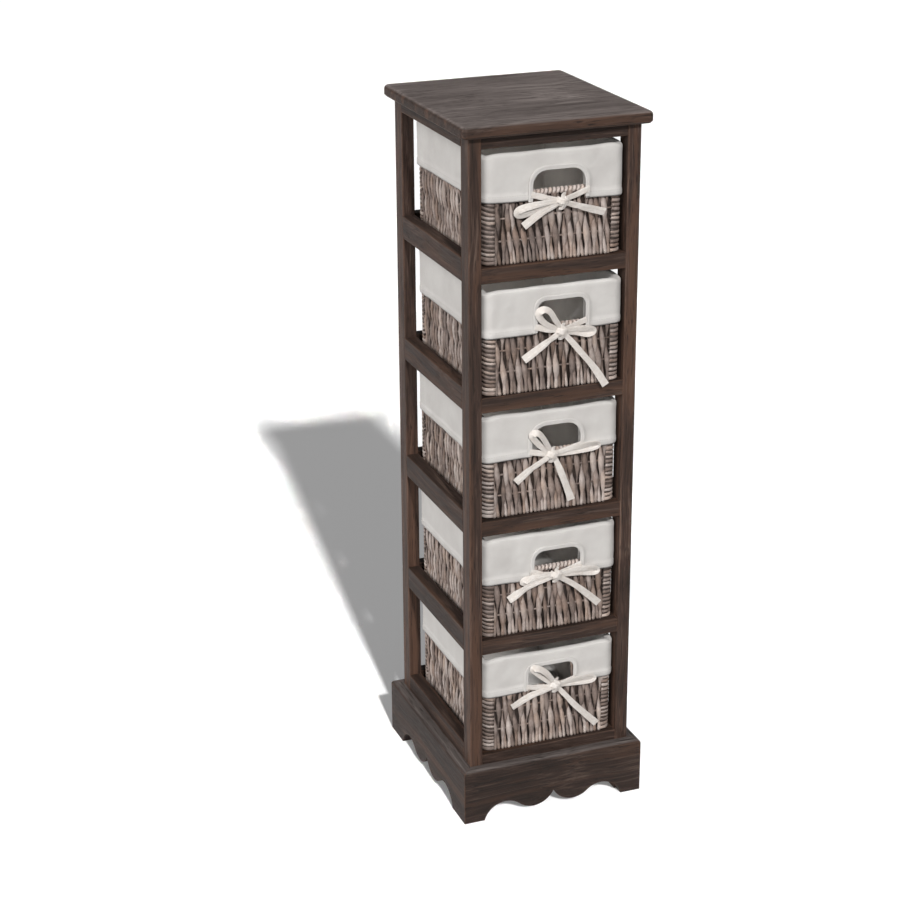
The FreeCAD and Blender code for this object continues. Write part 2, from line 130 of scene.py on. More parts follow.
# Wires and corners, in metres: radius of a wire, height of the first turn of husk round a corner,
# how far the turns stand out at the foot, and how far the core under them stands out and up
WIRE_RADIUS = 0.0013
FIRST_TURN = 0.0036
TURN_OUT = 0.0012
CORE_OUT = 0.0008
CORE_FOOT = 0.001

# Half the depth of a turn and of the core as a share of the wall's thickness, half the height of a turn
# as a share of the pitch, and the number of lowest turns that lie flatter
TURN_DEPTH = 0.45
CORE_DEPTH = 0.40
TURN_HEIGHT = 0.47
FLATTER_TURNS = 3

# The hole's wound lower edge, in metres: how far its wire lies under the edge, the distance between turns,
# the radius of a turn and of the husk in it, and how far the turns run on past the hole
EDGE_DROP = 0.004
EDGE_PITCH = 0.0056
EDGE_TURN = 0.0026
EDGE_HUSK = 0.0024
EDGE_END = 0.003

# How far beside the hole the strands are still cut short, in metres
SHORT_SIDE = 0.004

# The basket's floor: how far its strands end inside the walls and stand off the foot, in metres,
# and their thickness as a share of that of the upright ones
FLOOR_INSET = 0.008
FLOOR_LIFT = 0.0005
FLOOR_PRESS = 0.8

# The inner wall, a sheet behind the strands made dark as painted shade, in metres: its gap to the weave's
# inner face, its thickness and foot, the height of its lower part, its margin round the hole and the spacing
# of its points
INNER_GAP = 0.0008
INNER_THICKNESS = 0.0006
INNER_FOOT = 0.004
INNER_LOWER = 0.085
INNER_MARGIN = 0.0025
INNER_SPACING = 0.03

# Tones of the dark pieces behind the strands, darkened as painted shade
CORE_SHADE_TONE = -0.1
INNER_SHADE_TONE = -0.2

# The liner, in metres: its gaps to the weave inside, outside, above the rim and over the floor,
# and the spacing of its points
LINER_INSIDE = 0.0012
LINER_OUTSIDE = 0.0011
LINER_ABOVE = 0.0012
LINER_FLOOR = 0.0014
LINER_SPACING = 0.0056

# Rows of points in the liner's bag, over its fold and down its flap
BAG_ROWS = 14
FOLD_ROWS = 8
FLAP_ROWS = 9

# Depth of the waves in the liner's edge and fold, and how far the fold drops at the corners, in metres
EDGE_WAVE = 0.0011
RIM_WAVE = 0.0016
CORNER_DROP = 0.0075

# The part of the liner near its cut-out, in metres: how far it reaches sideways, above and below,
# and how far above the cut-out the fold starts to drop
CUT_BESIDE = 0.012
CUT_ABOVE = 0.01
CUT_BELOW = 0.012
BEND_ABOVE = 0.005

# The binding: how far its middle line lies outside the cut-out as a share of its width, and in metres
# how far its foot stands above the liner's edge, how far it stands off the weave, and its thickness
BINDING_OUT = 0.24
BINDING_FOOT = 0.0012
BINDING_LIFT = 0.0026
BINDING_THICKNESS = 0.0011

# Section of the folded tape, as shares of its half width and its thickness
TAPE_SECTION = [(-1, 0), (-1, 0.9), (-0.55, 1.3), (-0.18, 1.25), (-0.12, 0.8), (0.5, 1.0), (1, 0.6), (1, 0)]

# The two bands of a knot, each through points (x, height, lift), in millimetres from the knot's middle
# and the basket's front, with a share of the tape's width
KNOT_BANDS = (
    ([(2.5, 6.5, 3.2), (1.8, 6.0, 7.0), (0, 0, 9.6), (-1.8, -6.0, 7.0), (-2.5, -6.5, 3.2)], 1.0),
    ([(-6.5, 3.0, 3.6), (-5.5, 2.6, 7.6), (0, 0.5, 10.6), (5.0, -2.4, 7.6), (6.0, -3.0, 3.6)], 0.75),
)
BAND_THICKENING = 1.3

# A loop that rises by more than this above its knot, in millimetres, stands further on edge
TALL_LOOP = 15

# Points from one given point of a tape to the next, in a strip and in a band
STRIP_STEPS = 7
BAND_STEPS = 5

# The way to the main light and to the broad side light, and their widths in degrees
MAIN_LIGHT = (-0.12, -1.0, 0.73)
MAIN_WIDTH = 2.5
SIDE_LIGHT = (-0.9, -0.25, 0.35)
SIDE_WIDTH = 70

# The lamp in each basket: the way that its back faces, its cone in degrees, its radius and how far it stands
# in front of the middle and under the rim in metres, and its light as a share of that in the basket above
LAMP_BACK = (0, -0.60, 0.80)
LAMP_CONE = 58
LAMP_RADIUS = 0.03
LAMP_FORWARD = 0.02
LAMP_DROP = 0.04
LAMP_FALL = 0.82

# Half the width of the floor, in metres
FLOOR_HALF = 30

# Handle holes, in millimetres: half width, height of the top, radius of the upper corners
# and height of the wound lower edge
HOLES = {
    1: (35.5, 122.5, 11, 89.5),
    2: (35.5, 120.5, 16, 95.5),
    3: (36.5, 126, 22, 89.5),
    4: (35.5, 125.5, 13, 91),
    5: (38, 121.5, 20, 95),
}

# How far the whole fold of each liner has slipped down, in millimetres
RIM_SLIPS = {1: 3.5, 2: 0.5, 3: 0.5, 4: 3.5, 5: 0}

# Height of the liner's lower edge at the left and the right end of the front,
# in millimetres above the basket's foot
FLAP_EDGES = {1: (84, 86), 2: (78, 77.5), 3: (80.5, 83.5), 4: (79, 81), 5: (83, 76)}

# Each strip of a bow runs through points (x, height, lift), in millimetres from the middle, the foot
# and the front of its basket. A tail ends free, a loop comes back to the knot, and a tie runs from the knot
# to a corner of the cut-out.
BOWS = {
    1: {
        "knot": (8, 88.5),
        "ties": [
            [(8, 89, 4.5), (-8, 88, 4), (-35, 92, 3.4)],
            [(8, 89, 4.5), (24, 91, 4), (38, 94, 3.4)],
        ],
        "loops": [
            [(8, 90, 5), (0, 102, 8), (-9, 113, 10), (-20, 121, 10), (-27, 120, 8), (-15, 107, 6),
             (4, 90, 5)],
            [(8, 89, 5), (33, 93, 7), (57, 93, 7), (65, 90, 6), (57, 87, 5.5), (34, 87, 5),
             (8, 88, 4.5)],
        ],
        "tails": [
            [(7, 88, 5), (-10, 84, 7), (-30, 80, 7), (-57, 66, 5)],
            [(9, 88, 5.5), (22, 72, 7.5), (40, 50, 7.5), (72, 16, 5)],
        ],
    },
    2: {
        "knot": (7, 81.5),
        "ties": [
            [(7, 82, 4.5), (-12, 85, 4), (-29, 91, 3.4)],
            [(7, 82, 4.5), (27, 87, 4), (45, 92, 3.4)],
        ],
        "loops": [
            [(7, 82, 5), (-12, 84, 7), (-35, 82, 7), (-41, 78, 6), (-34, 76, 5.5), (-12, 79, 5),
             (7, 81, 4.5)],
            [(7, 82, 5), (38, 86, 7), (61, 83, 7), (67, 79, 6), (60, 77, 5.5), (36, 79, 5),
             (7, 81, 4.5)],
        ],
        "tails": [
            [(6, 80, 5), (-16, 77, 7), (-35, 71, 7), (-62, 55, 5)],
            [(8, 80, 5.5), (29, 67, 7.5), (48, 51, 7), (72, 28, 5)],
        ],
    },
    3: {
        "knot": (0, 82.5),
        "ties": [
            [(0, 83, 4.5), (-12, 85, 4), (-32, 90, 3.4)],
            [(0, 83, 4.5), (20, 87, 4), (43, 91, 3.4)],
        ],
        "loops": [
            [(0, 85, 5), (-9, 99, 8), (-18, 113, 10), (-25, 118, 10), (-30, 113, 8), (-18, 98, 6),
             (-2, 84, 5)],
            [(0, 83, 5), (28, 89, 7), (57, 91, 8), (65, 88, 7), (57, 85, 6), (30, 83, 5), (0, 82, 4.5)],
        ],
        "tails": [
            [(-1, 82, 5), (-18, 74, 7), (-34, 65, 7), (-52, 50, 5)],
            [(1, 82, 5.5), (8, 67, 7.5), (16, 47, 7), (29, 13, 5)],
        ],
    },
    4: {
        "knot": (9.5, 80),
        "ties": [
            [(9.5, 81, 4.5), (-8, 84, 4), (-28, 90, 3.4)],
            [(9.5, 81, 4.5), (26, 86, 4), (45, 92, 3.4)],
        ],
        "loops": [
            [(9, 83, 5), (-1, 97, 8), (-10, 110, 10), (-19, 114, 10), (-25, 108, 8), (-15, 94, 6),
             (7, 82, 5)],
            [(9, 80, 5), (32, 82, 7), (48, 80, 7.5), (53, 76, 6.5), (46, 73, 5.5), (30, 76, 5),
             (9, 79, 4.5)],
        ],
        "tails": [
            [(8, 79, 5), (-8, 71, 7), (-22, 62, 7), (-44, 47, 5)],
            [(10, 79, 5.5), (22, 66, 7.5), (35, 50, 8), (56, 24, 8), (72, -1, 9)],
        ],
    },
    5: {
        "knot": (9.5, 78),
        "ties": [
            [(9.5, 79, 4.5), (-12, 84, 4), (-33, 90, 3.4)],
            [(9.5, 79, 4.5), (27, 84, 4), (48, 91, 3.4)],
        ],
        "loops": [
            [(9, 78, 5), (-19, 78, 7), (-46, 74, 7), (-53, 69, 6), (-46, 65, 5), (-18, 71, 4.5),
             (9, 77, 4.5)],
        ],
        "tails": [
            [(8, 77, 5), (-12, 69, 6.5), (-28, 61, 6), (-44, 50, 5)],
            [(11, 77, 5.5), (26, 72, 7), (44, 66, 6.5), (69, 58, 5)],
        ],
    },
}


# Sizes and colours that a user may change

class StainedWoodSettings(bpy.types.PropertyGroup):
    """Colours and grain of the rack's dark stained wood."""
    dark_grain: FloatVectorProperty(
        name="Dark Grain", description="Colour of the dark grain lines",
        default=(0.018, 0.011, 0.008), subtype="COLOR", size=3, min=0, max=1)
    brown_stain: FloatVectorProperty(
        name="Brown Stain", description="Main colour of the stained wood",
        default=(0.056, 0.033, 0.025), subtype="COLOR", size=3, min=0, max=1)
    pale_streak: FloatVectorProperty(
        name="Pale Streak", description="Colour of the pale brushed streaks",
        default=(0.150, 0.102, 0.080), subtype="COLOR", size=3, min=0, max=1)
    worn_edge: FloatVectorProperty(
        name="Worn Edge", description="Colour of edges where the stain is rubbed thin",
        default=(0.170, 0.086, 0.052), subtype="COLOR", size=3, min=0, max=1)
    wear_width: FloatProperty(
        name="Wear Width", description="How far the rubbed edges reach",
        default=0.0022, min=0.0005, unit="LENGTH")


class WovenHuskSettings(bpy.types.PropertyGroup):
    """Sizes and colours of the woven basket walls."""
    wall: FloatProperty(
        name="Wall", description="Thickness of the woven wall",
        default=0.007, unit="LENGTH")
    taper: FloatProperty(
        name="Taper", description="How far each wall leans out from foot to rim",
        default=0.0018, unit="LENGTH")
    corner_radius: FloatProperty(
        name="Corner Radius", description="Radius of the basket's corners at the rim",
        default=0.013, unit="LENGTH")
    strand_pitch: FloatProperty(
        name="Strand Pitch", description="Distance between upright strands",
        default=0.0053, unit="LENGTH")
    strand_width: FloatProperty(
        name="Strand Width", description="Width of a strand where it passes over a wire",
        default=0.0086, unit="LENGTH")
    strand_thickness: FloatProperty(
        name="Strand Thickness", description="Thickness of a strand",
        default=0.0042, unit="LENGTH")
    wire_spacing: FloatProperty(
        name="Wire Spacing", description="Height between the wires that the strands wind round",
        default=0.0295, unit="LENGTH")
    coil_pitch: FloatProperty(
        name="Coil Pitch", description="Height of one turn of husk round a corner",
        default=0.0060, unit="LENGTH")
    coil_reach: FloatProperty(
        name="Coil Reach", description="How far a turn of husk runs on past a corner",
        default=0.0035, unit="LENGTH")
    wire_height: FloatProperty(
        name="Wire Height", description="Height of the first wire above the foot",
        default=0.031, unit="LENGTH")
    knob: FloatProperty(
        name="Knob", description="Height of the knob that ends a strand at the foot",
        default=0.016, unit="LENGTH")
    sway: FloatProperty(
        name="Sway", description="How far a strand swings sideways between two wires",
        default=0.0008, unit="LENGTH")
    shade: FloatVectorProperty(
        name="Shade", description="Colour of the darkest husk",
        default=(0.046, 0.034, 0.029), subtype="COLOR", size=3, min=0, max=1)
    husk: FloatVectorProperty(
        name="Husk", description="Main colour of the dried husk",
        default=(0.262, 0.205, 0.180), subtype="COLOR", size=3, min=0, max=1)
    bleached: FloatVectorProperty(
        name="Bleached Husk", description="Colour of the palest husk",
        default=(0.530, 0.457, 0.418), subtype="COLOR", size=3, min=0, max=1)


class ClothLinerSettings(bpy.types.PropertyGroup):
    """Sizes and colour of the cloth liners."""
    thickness: FloatProperty(
        name="Thickness", description="Thickness of the cloth",
        default=0.0011, unit="LENGTH")
    hem: FloatProperty(
        name="Hem", description="Depth of the folded hem",
        default=0.009, unit="LENGTH")
    crease: FloatProperty(
        name="Crease", description="Depth of the soft creases",
        default=0.0011, unit="LENGTH")
    sag: FloatProperty(
        name="Sag", description="How far the fold over the rim hangs between the corners",
        default=0.0022, unit="LENGTH")
    cut_foot: FloatProperty(
        name="Cut-out Foot", description="Height of the cut-out in the bag above the basket's foot",
        default=0.0870, unit="LENGTH")
    binding: FloatProperty(
        name="Binding", description="Width of the binding round the cut-out",
        default=0.0062, unit="LENGTH")
    cloth: FloatVectorProperty(
        name="Cloth", description="Colour of the cloth",
        default=(0.625, 0.602, 0.575), subtype="COLOR", size=3, min=0, max=1)


class TapeBowSettings(bpy.types.PropertyGroup):
    """Sizes and colour of the tape bows."""
    width: FloatProperty(
        name="Width", description="Width of the folded tape",
        default=0.0100, unit="LENGTH")
    thickness: FloatProperty(
        name="Thickness", description="Thickness of the folded tape",
        default=0.0009, unit="LENGTH")
    tape: FloatVectorProperty(
        name="Tape", description="Colour of the tape",
        default=(0.690, 0.645, 0.605), subtype="COLOR", size=3, min=0, max=1)


class StudioSettings(bpy.types.PropertyGroup):
    """Camera, light and floor."""
    eye: FloatVectorProperty(
        name="Eye", description="Place of the camera",
        default=(-1.0617, -2.5697, 1.5559), subtype="TRANSLATION", unit="LENGTH", size=3)
    turn: FloatProperty(
        name="Turn", description="How far the camera is turned to the right",
        default=math.radians(20.628), subtype="ANGLE")
    tilt: FloatProperty(
        name="Tilt", description="How far the camera looks down",
        default=math.radians(21.069), subtype="ANGLE")
    roll: FloatProperty(
        name="Roll", description="Roll of the camera",
        default=math.radians(-0.452), subtype="ANGLE")
    lens: FloatProperty(
        name="Lens", description="Focal length on a 36 mm sensor",
        default=85.59, unit="CAMERA")
    key: FloatProperty(
        name="Key", description="Strength of the main light",
        default=2.4, min=0)
    floor_key: FloatProperty(
        name="Floor Key", description="Strength of the main light that falls on the floor alone",
        default=4.0, min=0)
    room: FloatProperty(
        name="Room", description="Strength of the light from all around",
        default=0.15, min=0)
    side: FloatProperty(
        name="Side", description="Strength of the broad light from the left",
        default=3.2, min=0)
    inside: FloatProperty(
        name="Inside", description="Light that the liner of the top basket gathers",
        default=1.8, min=0, unit="POWER")
    floor: FloatVectorProperty(
        name="Floor", description="Colour of the floor",
        default=(0.93, 0.93, 0.93), subtype="COLOR", size=3, min=0, max=1)
    glow: FloatProperty(
        name="Floor Glow", description="Light that the floor itself gives",
        default=0.18, min=0)


class BasketShelfSettings(bpy.types.PropertyGroup):
    """All sizes and colours of the basket shelf."""
    wood: PointerProperty(type=StainedWoodSettings)
    husk: PointerProperty(type=WovenHuskSettings)
    liner: PointerProperty(type=ClothLinerSettings)
    bow: PointerProperty(type=TapeBowSettings)
    studio: PointerProperty(type=StudioSettings)


# Finishes

class Finish:
    """A material in the making: its nodes are added one by one and lead to one shader."""

    def __init__(self, name):
        self.material = bpy.data.materials.new(name)
        self.material.use_nodes = True
        self.tree = self.material.node_tree
        self.shader = self.tree.nodes["Principled BSDF"]

    def feed(self, node, inputs):
        """Link inputs of a node to other nodes' outputs, or set them to constants."""
        for key, value in inputs.items():
            if isinstance(value, bpy.types.NodeSocket):
                self.tree.links.new(value, node.inputs[key])
            else:
                node.inputs[key].default_value = value

    def node(self, kind, inputs=None, **options):
        """Add a node with its options and inputs, and return it."""
        made = self.tree.nodes.new("ShaderNode" + kind)
        for key, value in options.items():
            setattr(made, key, value)
        self.feed(made, inputs or {})
        return made

    def grain(self, vector, scale, detail, roughness=0.55):
        """A noise pattern, from 0 to 1."""
        inputs = {"Vector": vector, "Scale": scale, "Detail": detail, "Roughness": roughness}
        return self.node("TexNoise", inputs).outputs[0]

    def math(self, operation, first, second):
        """One sum of two values."""
        return self.node("Math", {0: first, 1: second}, operation=operation).outputs[0]

    def weigh(self, *parts):
        """The sum of values, each times its weight."""
        total = self.math("MULTIPLY", *parts[0])
        for part in parts[1:]:
            total = self.math("ADD", total, self.math("MULTIPLY", *part))
        return total

    def spread(self, value, source, target):
        """A value carried from one range to another and kept inside it."""
        inputs = {"Value": value, "From Min": source[0], "From Max": source[1]}
        return self.node("MapRange", {**inputs, "To Min": target[0], "To Max": target[1]}).outputs[0]

    def mix(self, factor, first, second, blend="MIX"):
        """One colour laid over another."""
        inputs = {0: factor, MIX_FIRST: first, MIX_SECOND: second}
        return self.node("Mix", inputs, data_type="RGBA", blend_type=blend).outputs[MIX_RESULT]

    def ramp(self, value, stops):
        """A colour ramp through (place, colour) stops."""
        made = self.node("ValToRGB", {0: value})
        elements = made.color_ramp.elements
        while len(elements) < len(stops):
            elements.new(0.5)
        for element, (place, colour) in zip(elements, stops):
            element.position = place
            element.color = opaque(colour)
        return made.outputs[0]

    def bump(self, height, strength, distance):
        """Surface relief that follows a pattern."""
        made = self.node("Bump", {"Strength": strength, "Distance": distance, "Height": height})
        self.feed(self.shader, {"Normal": made.outputs[0]})


def opaque(colour):
    """A colour with full cover."""
    return (*colour, 1.0)


def blend_of(first, second, share):
    """A colour part of the way between two others."""
    return tuple(a + (b - a) * share for a, b in zip(first, second))


def stained_wood(name, axis, settings, dust_and_sheen=0.0, depth=1.0):
    """Dark stained wood with its grain along an axis (0, 1 or 2).

    A depth below 1 darkens the whole finish, as painted shade. Dust and sheen is the strength of a paler,
    greyer colour on faces that look up: dust, and a painted sheen.
    """
    finish = Finish(name)
    place = finish.node("TexCoord").outputs["Object"]
    flat = finish.node("NewGeometry").outputs["Normal"]
    squeeze = [1.0, 1.0, 1.0]
    squeeze[axis] = GRAIN_SQUEEZE
    drift = finish.node("TexNoise", {"Vector": place, "Scale": 7.0, "Detail": 1.0}).outputs[1]
    along = finish.node("Mapping", {"Vector": place, "Scale": squeeze}).outputs[0]
    bend = {0: drift, 1: [GRAIN_BEND] * 3, 2: along}
    warped = finish.node("VectorMath", bend, operation="MULTIPLY_ADD").outputs[0]
    fibre = finish.grain(warped, scale=760.0, detail=4.0, roughness=0.62)
    streak = finish.grain(warped, scale=300.0, detail=2.0, roughness=0.6)
    band = finish.grain(warped, scale=80.0, detail=2.0, roughness=0.5)
    board = finish.grain(place, scale=9.0, detail=1.0)
    pores = finish.grain(warped, scale=620.0, detail=2.0, roughness=0.5)
    pores = finish.spread(pores, (0.57, 0.68), (0.0, 1.0))
    uneven = finish.math("SUBTRACT", board, 0.5)
    tone = finish.weigh((band, 0.34), (streak, 0.52), (fibre, 0.30), (uneven, 0.30))

    def streaks(dark, brown, pale):
        """The streaks of the grain in one set of stains."""
        middle = blend_of(dark, brown, 0.6)
        return finish.ramp(tone, [(0.40, dark), (0.54, middle), (0.63, brown), (0.80, pale)])

    stain = streaks(settings.dark_grain, settings.brown_stain, settings.pale_streak)
    rust = finish.spread(finish.grain(warped, scale=55.0, detail=1.0), (0.52, 0.66), (0.0, 0.6))
    stain = finish.mix(rust, stain, opaque(blend_of(settings.brown_stain, settings.worn_edge, 0.55)))
    # Dust and a painted sheen: faces that look up turn paler and greyer
    if dust_and_sheen:
        dust_and_sheen_stain = streaks(blend_of(settings.dark_grain, DUST_SHEEN_GREY, 0.5), DUST_SHEEN_GREY, DUST_SHEEN_PALE)
        dust_and_sheen_stain = finish.mix(1.0, dust_and_sheen_stain, opaque([dust_and_sheen / depth] * 3), "MULTIPLY")
        upward = finish.node("SeparateXYZ", {0: flat}).outputs[2]
        stain = finish.mix(finish.spread(upward, (0.5, 0.9), (0.0, 1.0)), stain, dust_and_sheen_stain)
    stain = finish.mix(finish.math("MULTIPLY", pores, 0.8), stain, opaque(settings.dark_grain))
    edge = finish.node("Bevel", {"Radius": settings.wear_width}, samples=4).outputs[0]
    turned = finish.node("VectorMath", {0: edge, 1: flat}, operation="DOT_PRODUCT").outputs["Value"]
    worn = finish.spread(turned, (0.985, 0.86), (0.0, 0.75))
    patchy = finish.spread(band, (0.38, 0.60), (0.15, 1.0))
    stain = finish.mix(finish.math("MULTIPLY", worn, patchy), stain, opaque(settings.worn_edge))
    # Painted shade: the whole finish is darkened by its depth, set apart for each kind of piece
    stain = finish.mix(1.0, stain, opaque([depth] * 3), "MULTIPLY")
    roughness = finish.spread(fibre, (0.3, 0.7), (0.52, 0.72))
    finish.feed(finish.shader, {"Base Color": stain, "Roughness": roughness, "Specular IOR Level": 0.22})
    relief = finish.math("SUBTRACT", finish.math("ADD", fibre, streak), pores)
    finish.bump(relief, strength=0.55, distance=0.0006)
    return finish.material


def woven_husk(settings):
    """Dried husk: each strand has its own tone and painted shade at its back, with fibres along it."""
    finish = Finish("woven_husk")
    lay = finish.node("UVMap", uv_map="fibre").outputs[0]
    along = finish.node("Mapping", {"Vector": lay, "Scale": (1400.0, 70.0, 1.0)}).outputs[0]
    fibre = finish.grain(along, scale=1.0, detail=4.0, roughness=0.65)
    blotch = finish.grain(finish.node("TexCoord").outputs["Object"], scale=120.0, detail=2.0)
    uneven = finish.math("SUBTRACT", blotch, 0.5)
    # The tone holds each piece's own tone and its painted shade
    tone = finish.node("Attribute", attribute_name="tone").outputs["Fac"]
    shade = finish.weigh((tone, 0.62), (fibre, 0.42), (uneven, 0.48))
    middle = blend_of(settings.shade, settings.husk, 0.55)
    colour = finish.ramp(shade, [
        (0.10, settings.shade), (0.34, middle), (0.52, settings.husk), (0.88, settings.bleached)])
    warm = finish.spread(finish.grain(lay, scale=23.0, detail=1.0), (0.45, 0.68), (0.0, 0.55))
    colour = finish.mix(warm, colour, opaque(WARM_TINT), "MULTIPLY")
    finish.feed(finish.shader, {"Base Color": colour, "Roughness": 0.62, "Specular IOR Level": 0.3})
    finish.bump(fibre, strength=0.6, distance=0.0007)
    return finish.material


def liner_cloth(settings):
    """Plain off-white cotton with soft creases and a row of stitches under the hem's top."""
    finish = Finish("liner_cloth")
    place = finish.node("TexCoord").outputs["Object"]
    wave = {"Vector": place, "Scale": 420.0, "Distortion": 1.2, "Detail": 1.0}
    threads = finish.node("TexWave", wave, bands_direction="DIAGONAL").outputs[1]
    cloud = finish.grain(place, scale=28.0, detail=3.0)
    crease = finish.grain(place, scale=55.0, detail=2.0, roughness=0.4)
    above = finish.node("Attribute", attribute_name="above_edge").outputs["Fac"]
    run = finish.node("Attribute", attribute_name="along_edge").outputs["Fac"]
    row = {0: above, 1: settings.hem - STITCH_DROP, 2: STITCH_HALF_WIDTH}
    seam = finish.node("Math", row, operation="COMPARE").outputs[0]
    sewn = finish.math("LESS_THAN", finish.math("PINGPONG", run, STITCH_HALF_PITCH), STITCH_HALF_LENGTH)
    stitch = finish.math("MULTIPLY", seam, sewn)
    shade = blend_of(settings.cloth, CLOTH_SHADE, 0.5)
    soft = finish.spread(cloud, (0.32, 0.72), (0.0, 1.0))
    colour = finish.mix(soft, opaque(settings.cloth), opaque(shade))
    colour = finish.mix(finish.math("MULTIPLY", stitch, 0.35), colour, opaque(STITCH_SHADE))
    finish.feed(finish.shader, {
        "Base Color": colour, "Roughness": 0.92, "Specular IOR Level": 0.2, "Sheen Weight": 0.12})
    relief = finish.math("ADD", finish.math("MULTIPLY", threads, 0.05), crease)
    finish.bump(finish.math("SUBTRACT", relief, stitch), strength=0.6, distance=0.0022)
    return finish.material


def cotton_tape(settings):
    """Folded cotton tape, a little creamier than the liner."""
    finish = Finish("cotton_tape")
    place = finish.node("TexCoord").outputs["Object"]
    shade = blend_of(settings.tape, TAPE_SHADE, 0.5)
    soft = finish.spread(finish.grain(place, scale=160.0, detail=3.0), (0.35, 0.75), (0.0, 1.0))
    colour = finish.mix(soft, opaque(settings.tape), opaque(shade))
    finish.feed(finish.shader, {"Base Color": colour, "Roughness": 0.9, "Sheen Weight": 0.15})
    finish.bump(finish.grain(place, scale=330.0, detail=3.0, roughness=0.6), strength=0.7, distance=0.0012)
    return finish.material


# Shapes

class BasketSpace:
    """Where one basket is and how its tapered walls stand.

    Its own frame has the middle of its foot as origin.
    """

    def __init__(self, tier, husk):
        low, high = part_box(f"basket_{tier}_weave")
        bow_low, bow_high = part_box(f"basket_{tier}_bow")
        self.tier = tier
        self.place = Matrix.Translation(((low.x + high.x) / 2, (low.y + high.y) / 2, low.z))
        self.half_x = (high.x - low.x) / 2
        self.half_y = (high.y - low.y) / 2
        self.height = high.z - low.z
        self.weave_top = self.height - RIM_PLAY
        self.handle_x = (bow_low.x + bow_high.x) / 2
        self.taper = husk.taper
        self.radius = husk.corner_radius
        self.wall = husk.wall
        self.core = (self.half_x - self.radius, self.half_y - self.radius)
        sizes = [MM * size for size in HOLES[tier]]
        self.hole_half, self.hole_top, self.hole_radius, self.hole_edge = sizes
        self.edge_wire = self.hole_edge - EDGE_DROP

    def lean(self, height):
        """How far out the outer face stands from its place at the rim: 0 there, and less below it."""
        return -self.taper * (1 - height / self.height)

    def reach(self, height, offset):
        """Distance from the core rectangle to a face that is moved out by an offset."""
        return self.radius + self.lean(height) + offset

    def outward(self, point):
        """The nearest point of the core rectangle and the way out from it, in plan."""
        near = Vector([max(-half, min(half, along)) for half, along in zip(self.core, point.xy)])
        return near, (point.xy - near).normalized()

    def front(self, height, lift):
        """Depth of a point that stands off the front face."""
        return -(self.half_y + self.lean(height) + lift)

    def corner(self, side_x, side_y, out, height):
        """A place on the axis of one corner, moved out by a distance."""
        return Matrix.Translation((side_x * (self.core[0] + out), side_y * (self.core[1] + out), height))

    def flap_edge(self, x):
        """Height of the liner's lower edge, without its waves."""
        left, right = FLAP_EDGES[self.tier]
        share = (x + self.half_x) / (2 * self.half_x)
        return MM * (left + (right - left) * share)


def finish_piece(name, bm, space, material):
    """Put a basket piece in its place, and make it an object that rides on its basket."""
    bmesh.ops.transform(bm, matrix=space.place, verts=bm.verts)
    mesh = bpy.data.meshes.new(name)
    bm.to_mesh(mesh)
    bm.free()
    mesh.shade_smooth()
    mesh.materials.append(material)
    piece = bpy.data.objects.new(name, mesh)
    bpy.context.scene.collection.objects.link(piece)
    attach(piece, f"basket_{space.tier}")
    return piece


def quarter_arc(step):
    """The angle after some of the steps of a quarter circle."""
    return math.radians(90 * step / ARC_STEPS)


def carry_section(bm, places):
    """Carry the only face of a bmesh through a row of places, each a matrix, and leave a closed bar."""
    faces = bm.faces[:]
    for here, there in zip(places, places[1:]):
        edges = {edge for face in faces for edge in face.edges}
        made = bmesh.ops.extrude_face_region(bm, geom=[*faces, *edges])["geom"]
        faces = [part for part in made if isinstance(part, bmesh.types.BMFace)]
        verts = [part for part in made if isinstance(part, bmesh.types.BMVert)]
        bmesh.ops.transform(bm, matrix=there @ here.inverted(), verts=verts)
    bmesh.ops.recalc_face_normals(bm, faces=bm.faces)


def husk_bar(places, radius=1):
    """A closed bar of husk through a row of places, each a matrix that also shapes its section."""
    bm = bmesh.new()
    bmesh.ops.create_circle(bm, cap_ends=True, radius=radius, segments=STRAND_SIDES, matrix=places[0])
    carry_section(bm, places)
    return bm


def pattern_of(bm, across, along, shade=lambda co: 0.0):
    """Keep a shape as a mesh to copy from, with its fibres and its painted shade given by functions of a
    point.
    """
    fibre = bm.loops.layers.uv.new("fibre")
    tones = bm.verts.layers.float.new("tone")
    for vert in bm.verts:
        vert[tones] = shade(vert.co)
    for face in bm.faces:
        for loop in face.loops:
            loop[fibre].uv = (across(loop.vert.co), along(loop.vert.co))
    mesh = bpy.data.meshes.new("pattern")
    bm.to_mesh(mesh)
    bm.free()
    return mesh


def husk_strand(husk, over, top, knob):
    """One upright strand that passes in front of the wire at one height.

    Its outer side faces -Y, and the wall's face is y = 0.
    """
    middle = husk.wall / 2
    step = husk.wire_spacing / WIRE_LEVELS
    levels = [knob * share for share in KNOB_LEVELS]
    levels += [knob + step * index for index in range(math.ceil((top - knob) / step))]
    levels.append(top)
    places = []
    for height in levels:
        # A strand is widest in front of its wire and narrowest behind the next one
        phase = math.pi * (height - over) / husk.wire_spacing
        swing = math.cos(phase)
        swell = SWELL_MIDDLE + SWELL_SWING * max(swing, -0.5)
        if height < knob:
            # Its knob comes forward at the foot and bulges in the middle
            swing = math.cos(math.pi / 2 * height / knob)
            swell = KNOB_ENDS + KNOB_BULGE * math.sin(math.pi * (height / knob) ** 0.7)
        thickness = husk.strand_thickness * (0.6 + 0.4 * swell)
        depth = middle - (middle - thickness / 2) * swing
        spot = Matrix.Translation((-husk.sway * math.sin(phase), depth, height))
        places.append(spot @ Matrix.Diagonal((husk.strand_width / 2 * swell, thickness / 2, 1, 1)))

    # Painted shade: a strand is darker where it lies deeper in the wall
    def shade(co):
        return -BACK_PAINTED_SHADE * co.y / husk.wall

    return pattern_of(husk_bar(places), lambda co: co.x + 0.3 * co.z, lambda co: co.z, shade)


